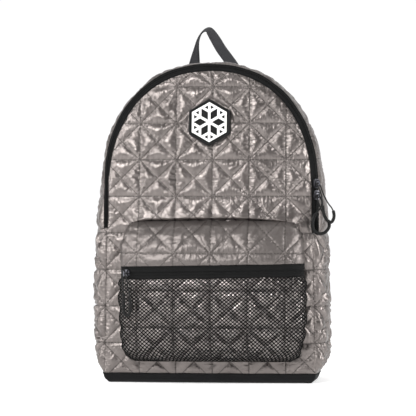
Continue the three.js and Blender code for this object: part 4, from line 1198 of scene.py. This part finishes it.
shell = nylon("quilted nylon", (0.105, 0.092, 0.087), (0.23, 0.205, 0.194), 0.31, 0.38, gather=1.7)
shell_smooth = nylon("pocket nylon", (0.12, 0.106, 0.1), (0.165, 0.147, 0.14), 0.43, 0.35, gather=0.8)
# Under the net the nylon gets far lighter colours than the rest of the shell: painted light, standing in for
# the light that the net's strands hold back.
shell_painted_light = nylon("quilted nylon painted lighter under the net", (0.27, 0.24, 0.23), (0.52, 0.48, 0.46), 0.3, 0.6,
                     gather=2.2)
shell_plain = nylon("anchor nylon", (0.235, 0.207, 0.193), (0.33, 0.295, 0.278), 0.4, 0.4, False)
back_cloth = woven("back cloth", (0.2, 0.18, 0.17), (0.26, 0.235, 0.22), 0.75, 900, 0.12, 0.1)
strap_cloth = nylon("strap nylon", (0.2, 0.18, 0.17), (0.28, 0.25, 0.235), 0.5, 0.25)
tape = woven("zip tape", grey(0.003), grey(0.007), 0.75, 1600, 0.08)
net_yarn = woven("net yarn", grey(0.002), grey(0.005), 0.7, 2200, 0.06)
base_cloth = woven("base cloth", grey(0.004), (0.01, 0.01, 0.011), 0.7, 1100, 0.1, 0.02)
strapping = woven("webbing", (0.022, 0.022, 0.024), (0.04, 0.04, 0.043), 0.7, 700, 0.15, 0.05, 900)
rubber = moulded("patch rubber", grey(0.005), grey(0.01), 0.55)
print_white = moulded("raised print", (0.72, 0.72, 0.70), (0.82, 0.82, 0.81), 0.5)
metal = moulded("slider metal", (0.04, 0.04, 0.045), (0.09, 0.09, 0.1), 0.3, 1.0)
cord_braid = moulded("braided cord", grey(0.008), grey(0.02), 0.6)
sleeve = moulded("sleeve rubber", grey(0.005), grey(0.01), 0.5)
buckle = moulded("buckle plastic", grey(0.012), grey(0.022), 0.4)
thread_dark = moulded("thread", (0.12, 0.105, 0.1), (0.17, 0.15, 0.14), 0.5)

cords, grips = zip(*pulls)
made = [
    ((front, gusset, left_side, right_side), shell, "quilted_shell"),
    ((pocket_low,), shell_painted_light, "quilted_shell"),
    ((pocket_high,), shell_smooth, "quilted_shell"),
    ((back,), back_cloth, "back_padding"),
    ((main_zip, pocket_zip), tape, "zip_tape"),
    ((net_cloth,), net_yarn, "mesh_net"),
    ((base_tray,), base_cloth, "base_fabric"),
    ((grab_handle, *webbings), strapping, "webbing"),
    ((patch,), rubber, "patch_rubber"),
    (straps, strap_cloth, "strap_padding"),
    (stitches, thread_dark, "quilted_shell"),
    (cords, cord_braid, "pull_cord"),
    (grips, sleeve, "pull_grip"),
]
for pieces, material, slot_name in made:
    for obj in pieces:
        dress(obj, material, slot_name)
        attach(obj, "root")

# Pieces of the frame that are kept, with the radius of their rounded edges
kept = [
    (("patch_motif",), print_white, "patch_print", 0.25),
    (("main_slider_upper", "main_slider_lower", "pocket_slider"), metal, "slider_metal", 0.3),
    (("left_strap_adjuster", "right_strap_adjuster"), buckle, "buckle_plastic", 0.6),
    (("left_strap_anchor", "right_strap_anchor"), shell_plain, "shell_fabric", 0.6),
]
for nodes, material, slot_name, rounding in kept:
    for node in nodes:
        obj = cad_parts[node]
        dress(obj, material, slot_name)
        bevel = obj.modifiers.new("rounded", "BEVEL")
        bevel.width = rounding * UNIT
        bevel.segments = 2
        bevel.limit_method = "ANGLE"
        bevel.angle_limit = math.radians(40)


# Floor, light and camera
def floor_look(tree, where):
    """A pale floor that stays as pale beyond the reach of the lights."""
    behind = add_node(tree, "SeparateXYZ", {"Vector": where}, "Y")
    pale = blend_colour(tree, noise(tree, where, 3, 2), grey(0.86), grey(0.9))
    return {"Base Color": pale, "Roughness": 0.8, "Emission Color": grey(1.0),
            "Emission Strength": blend_range(tree, behind, 0.42, 0.74, 0.5, 3.5)}


def backdrop_look(tree, where):
    white = blend_colour(tree, noise(tree, where, 2, 2), grey(0.98), grey(1.0))
    return {"Base Color": grey(0.0), "Emission Color": white, "Emission Strength": 1.0}


def stage_plane(name, size, place, turn, scale, look):
    bpy.ops.mesh.primitive_plane_add(size=size, location=place, rotation=(turn, 0, 0))
    obj = bpy.context.object
    obj.name = name
    obj.scale = scale
    material, tree = new_material(name)
    surface(tree, look(tree, place_node(tree, False)))
    obj.data.materials.append(material)
    obj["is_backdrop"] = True


def turned(obj, place, aim):
    """Puts a light or camera at a place, facing the aim."""
    obj.location = place
    obj.rotation_euler = (Vector(aim) - Vector(place)).to_track_quat("-Z", "Y").to_euler()


def light(name, place, aim, size, power):
    data = bpy.data.lights.new(name, "AREA")
    data.shape = "RECTANGLE"
    data.size, data.size_y = size
    data.energy = power
    obj = add_object(name, data)
    turned(obj, place, aim)
    obj.visible_camera = False
    obj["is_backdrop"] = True


camera_azimuth, camera_elevation, camera_distance = math.radians(4.5), math.radians(0.3), 2.6
camera_aim = Vector((-0.0064, 0.0, 0.2272))
camera_lens = 169.4


def camera():
    data = bpy.data.cameras.new("camera")
    data.lens = camera_lens
    data.sensor_width = 36
    data.clip_end = 50
    way = Vector((math.sin(camera_azimuth) * math.cos(camera_elevation),
                  -math.cos(camera_azimuth) * math.cos(camera_elevation), math.sin(camera_elevation)))
    obj = add_object("camera", data)
    turned(obj, camera_aim + way * camera_distance, camera_aim)
    bpy.context.scene.camera = obj


stage_plane("floor", 90, (0, 0, -0.0004), 0, (1, 1, 1), floor_look)
stage_plane("backdrop", 1, (0, 6.0, 3.5), math.pi / 2, (18, 8, 1), backdrop_look)
world = bpy.data.worlds.new("studio")
bpy.context.scene.world = world
world.use_nodes = True
background = world.node_tree.nodes["Background"]
background.inputs["Color"].default_value = (1, 1, 1, 1)
background.inputs["Strength"].default_value = 0.08
light("key", (-0.9, -2.1, 1.5), (0, 0, 0.3), (1.0, 0.7), 60)
light("top", (0.1, 0.0, 1.7), (0, 0, 0.3), (1.4, 0.6), 5)
light("left", (-1.4, -0.4, 0.7), (0, 0, 0.25), (0.3, 1.0), 15)
light("right", (1.4, -0.4, 0.7), (0, 0, 0.25), (0.3, 1.0), 21)
camera()
bpy.context.scene.view_settings.view_transform = "Standard"

end_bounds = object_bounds()
boxes = {"start": start_bounds, "end": end_bounds}
{key: [list(corner) for corner in box] for key, box in boxes.items()}
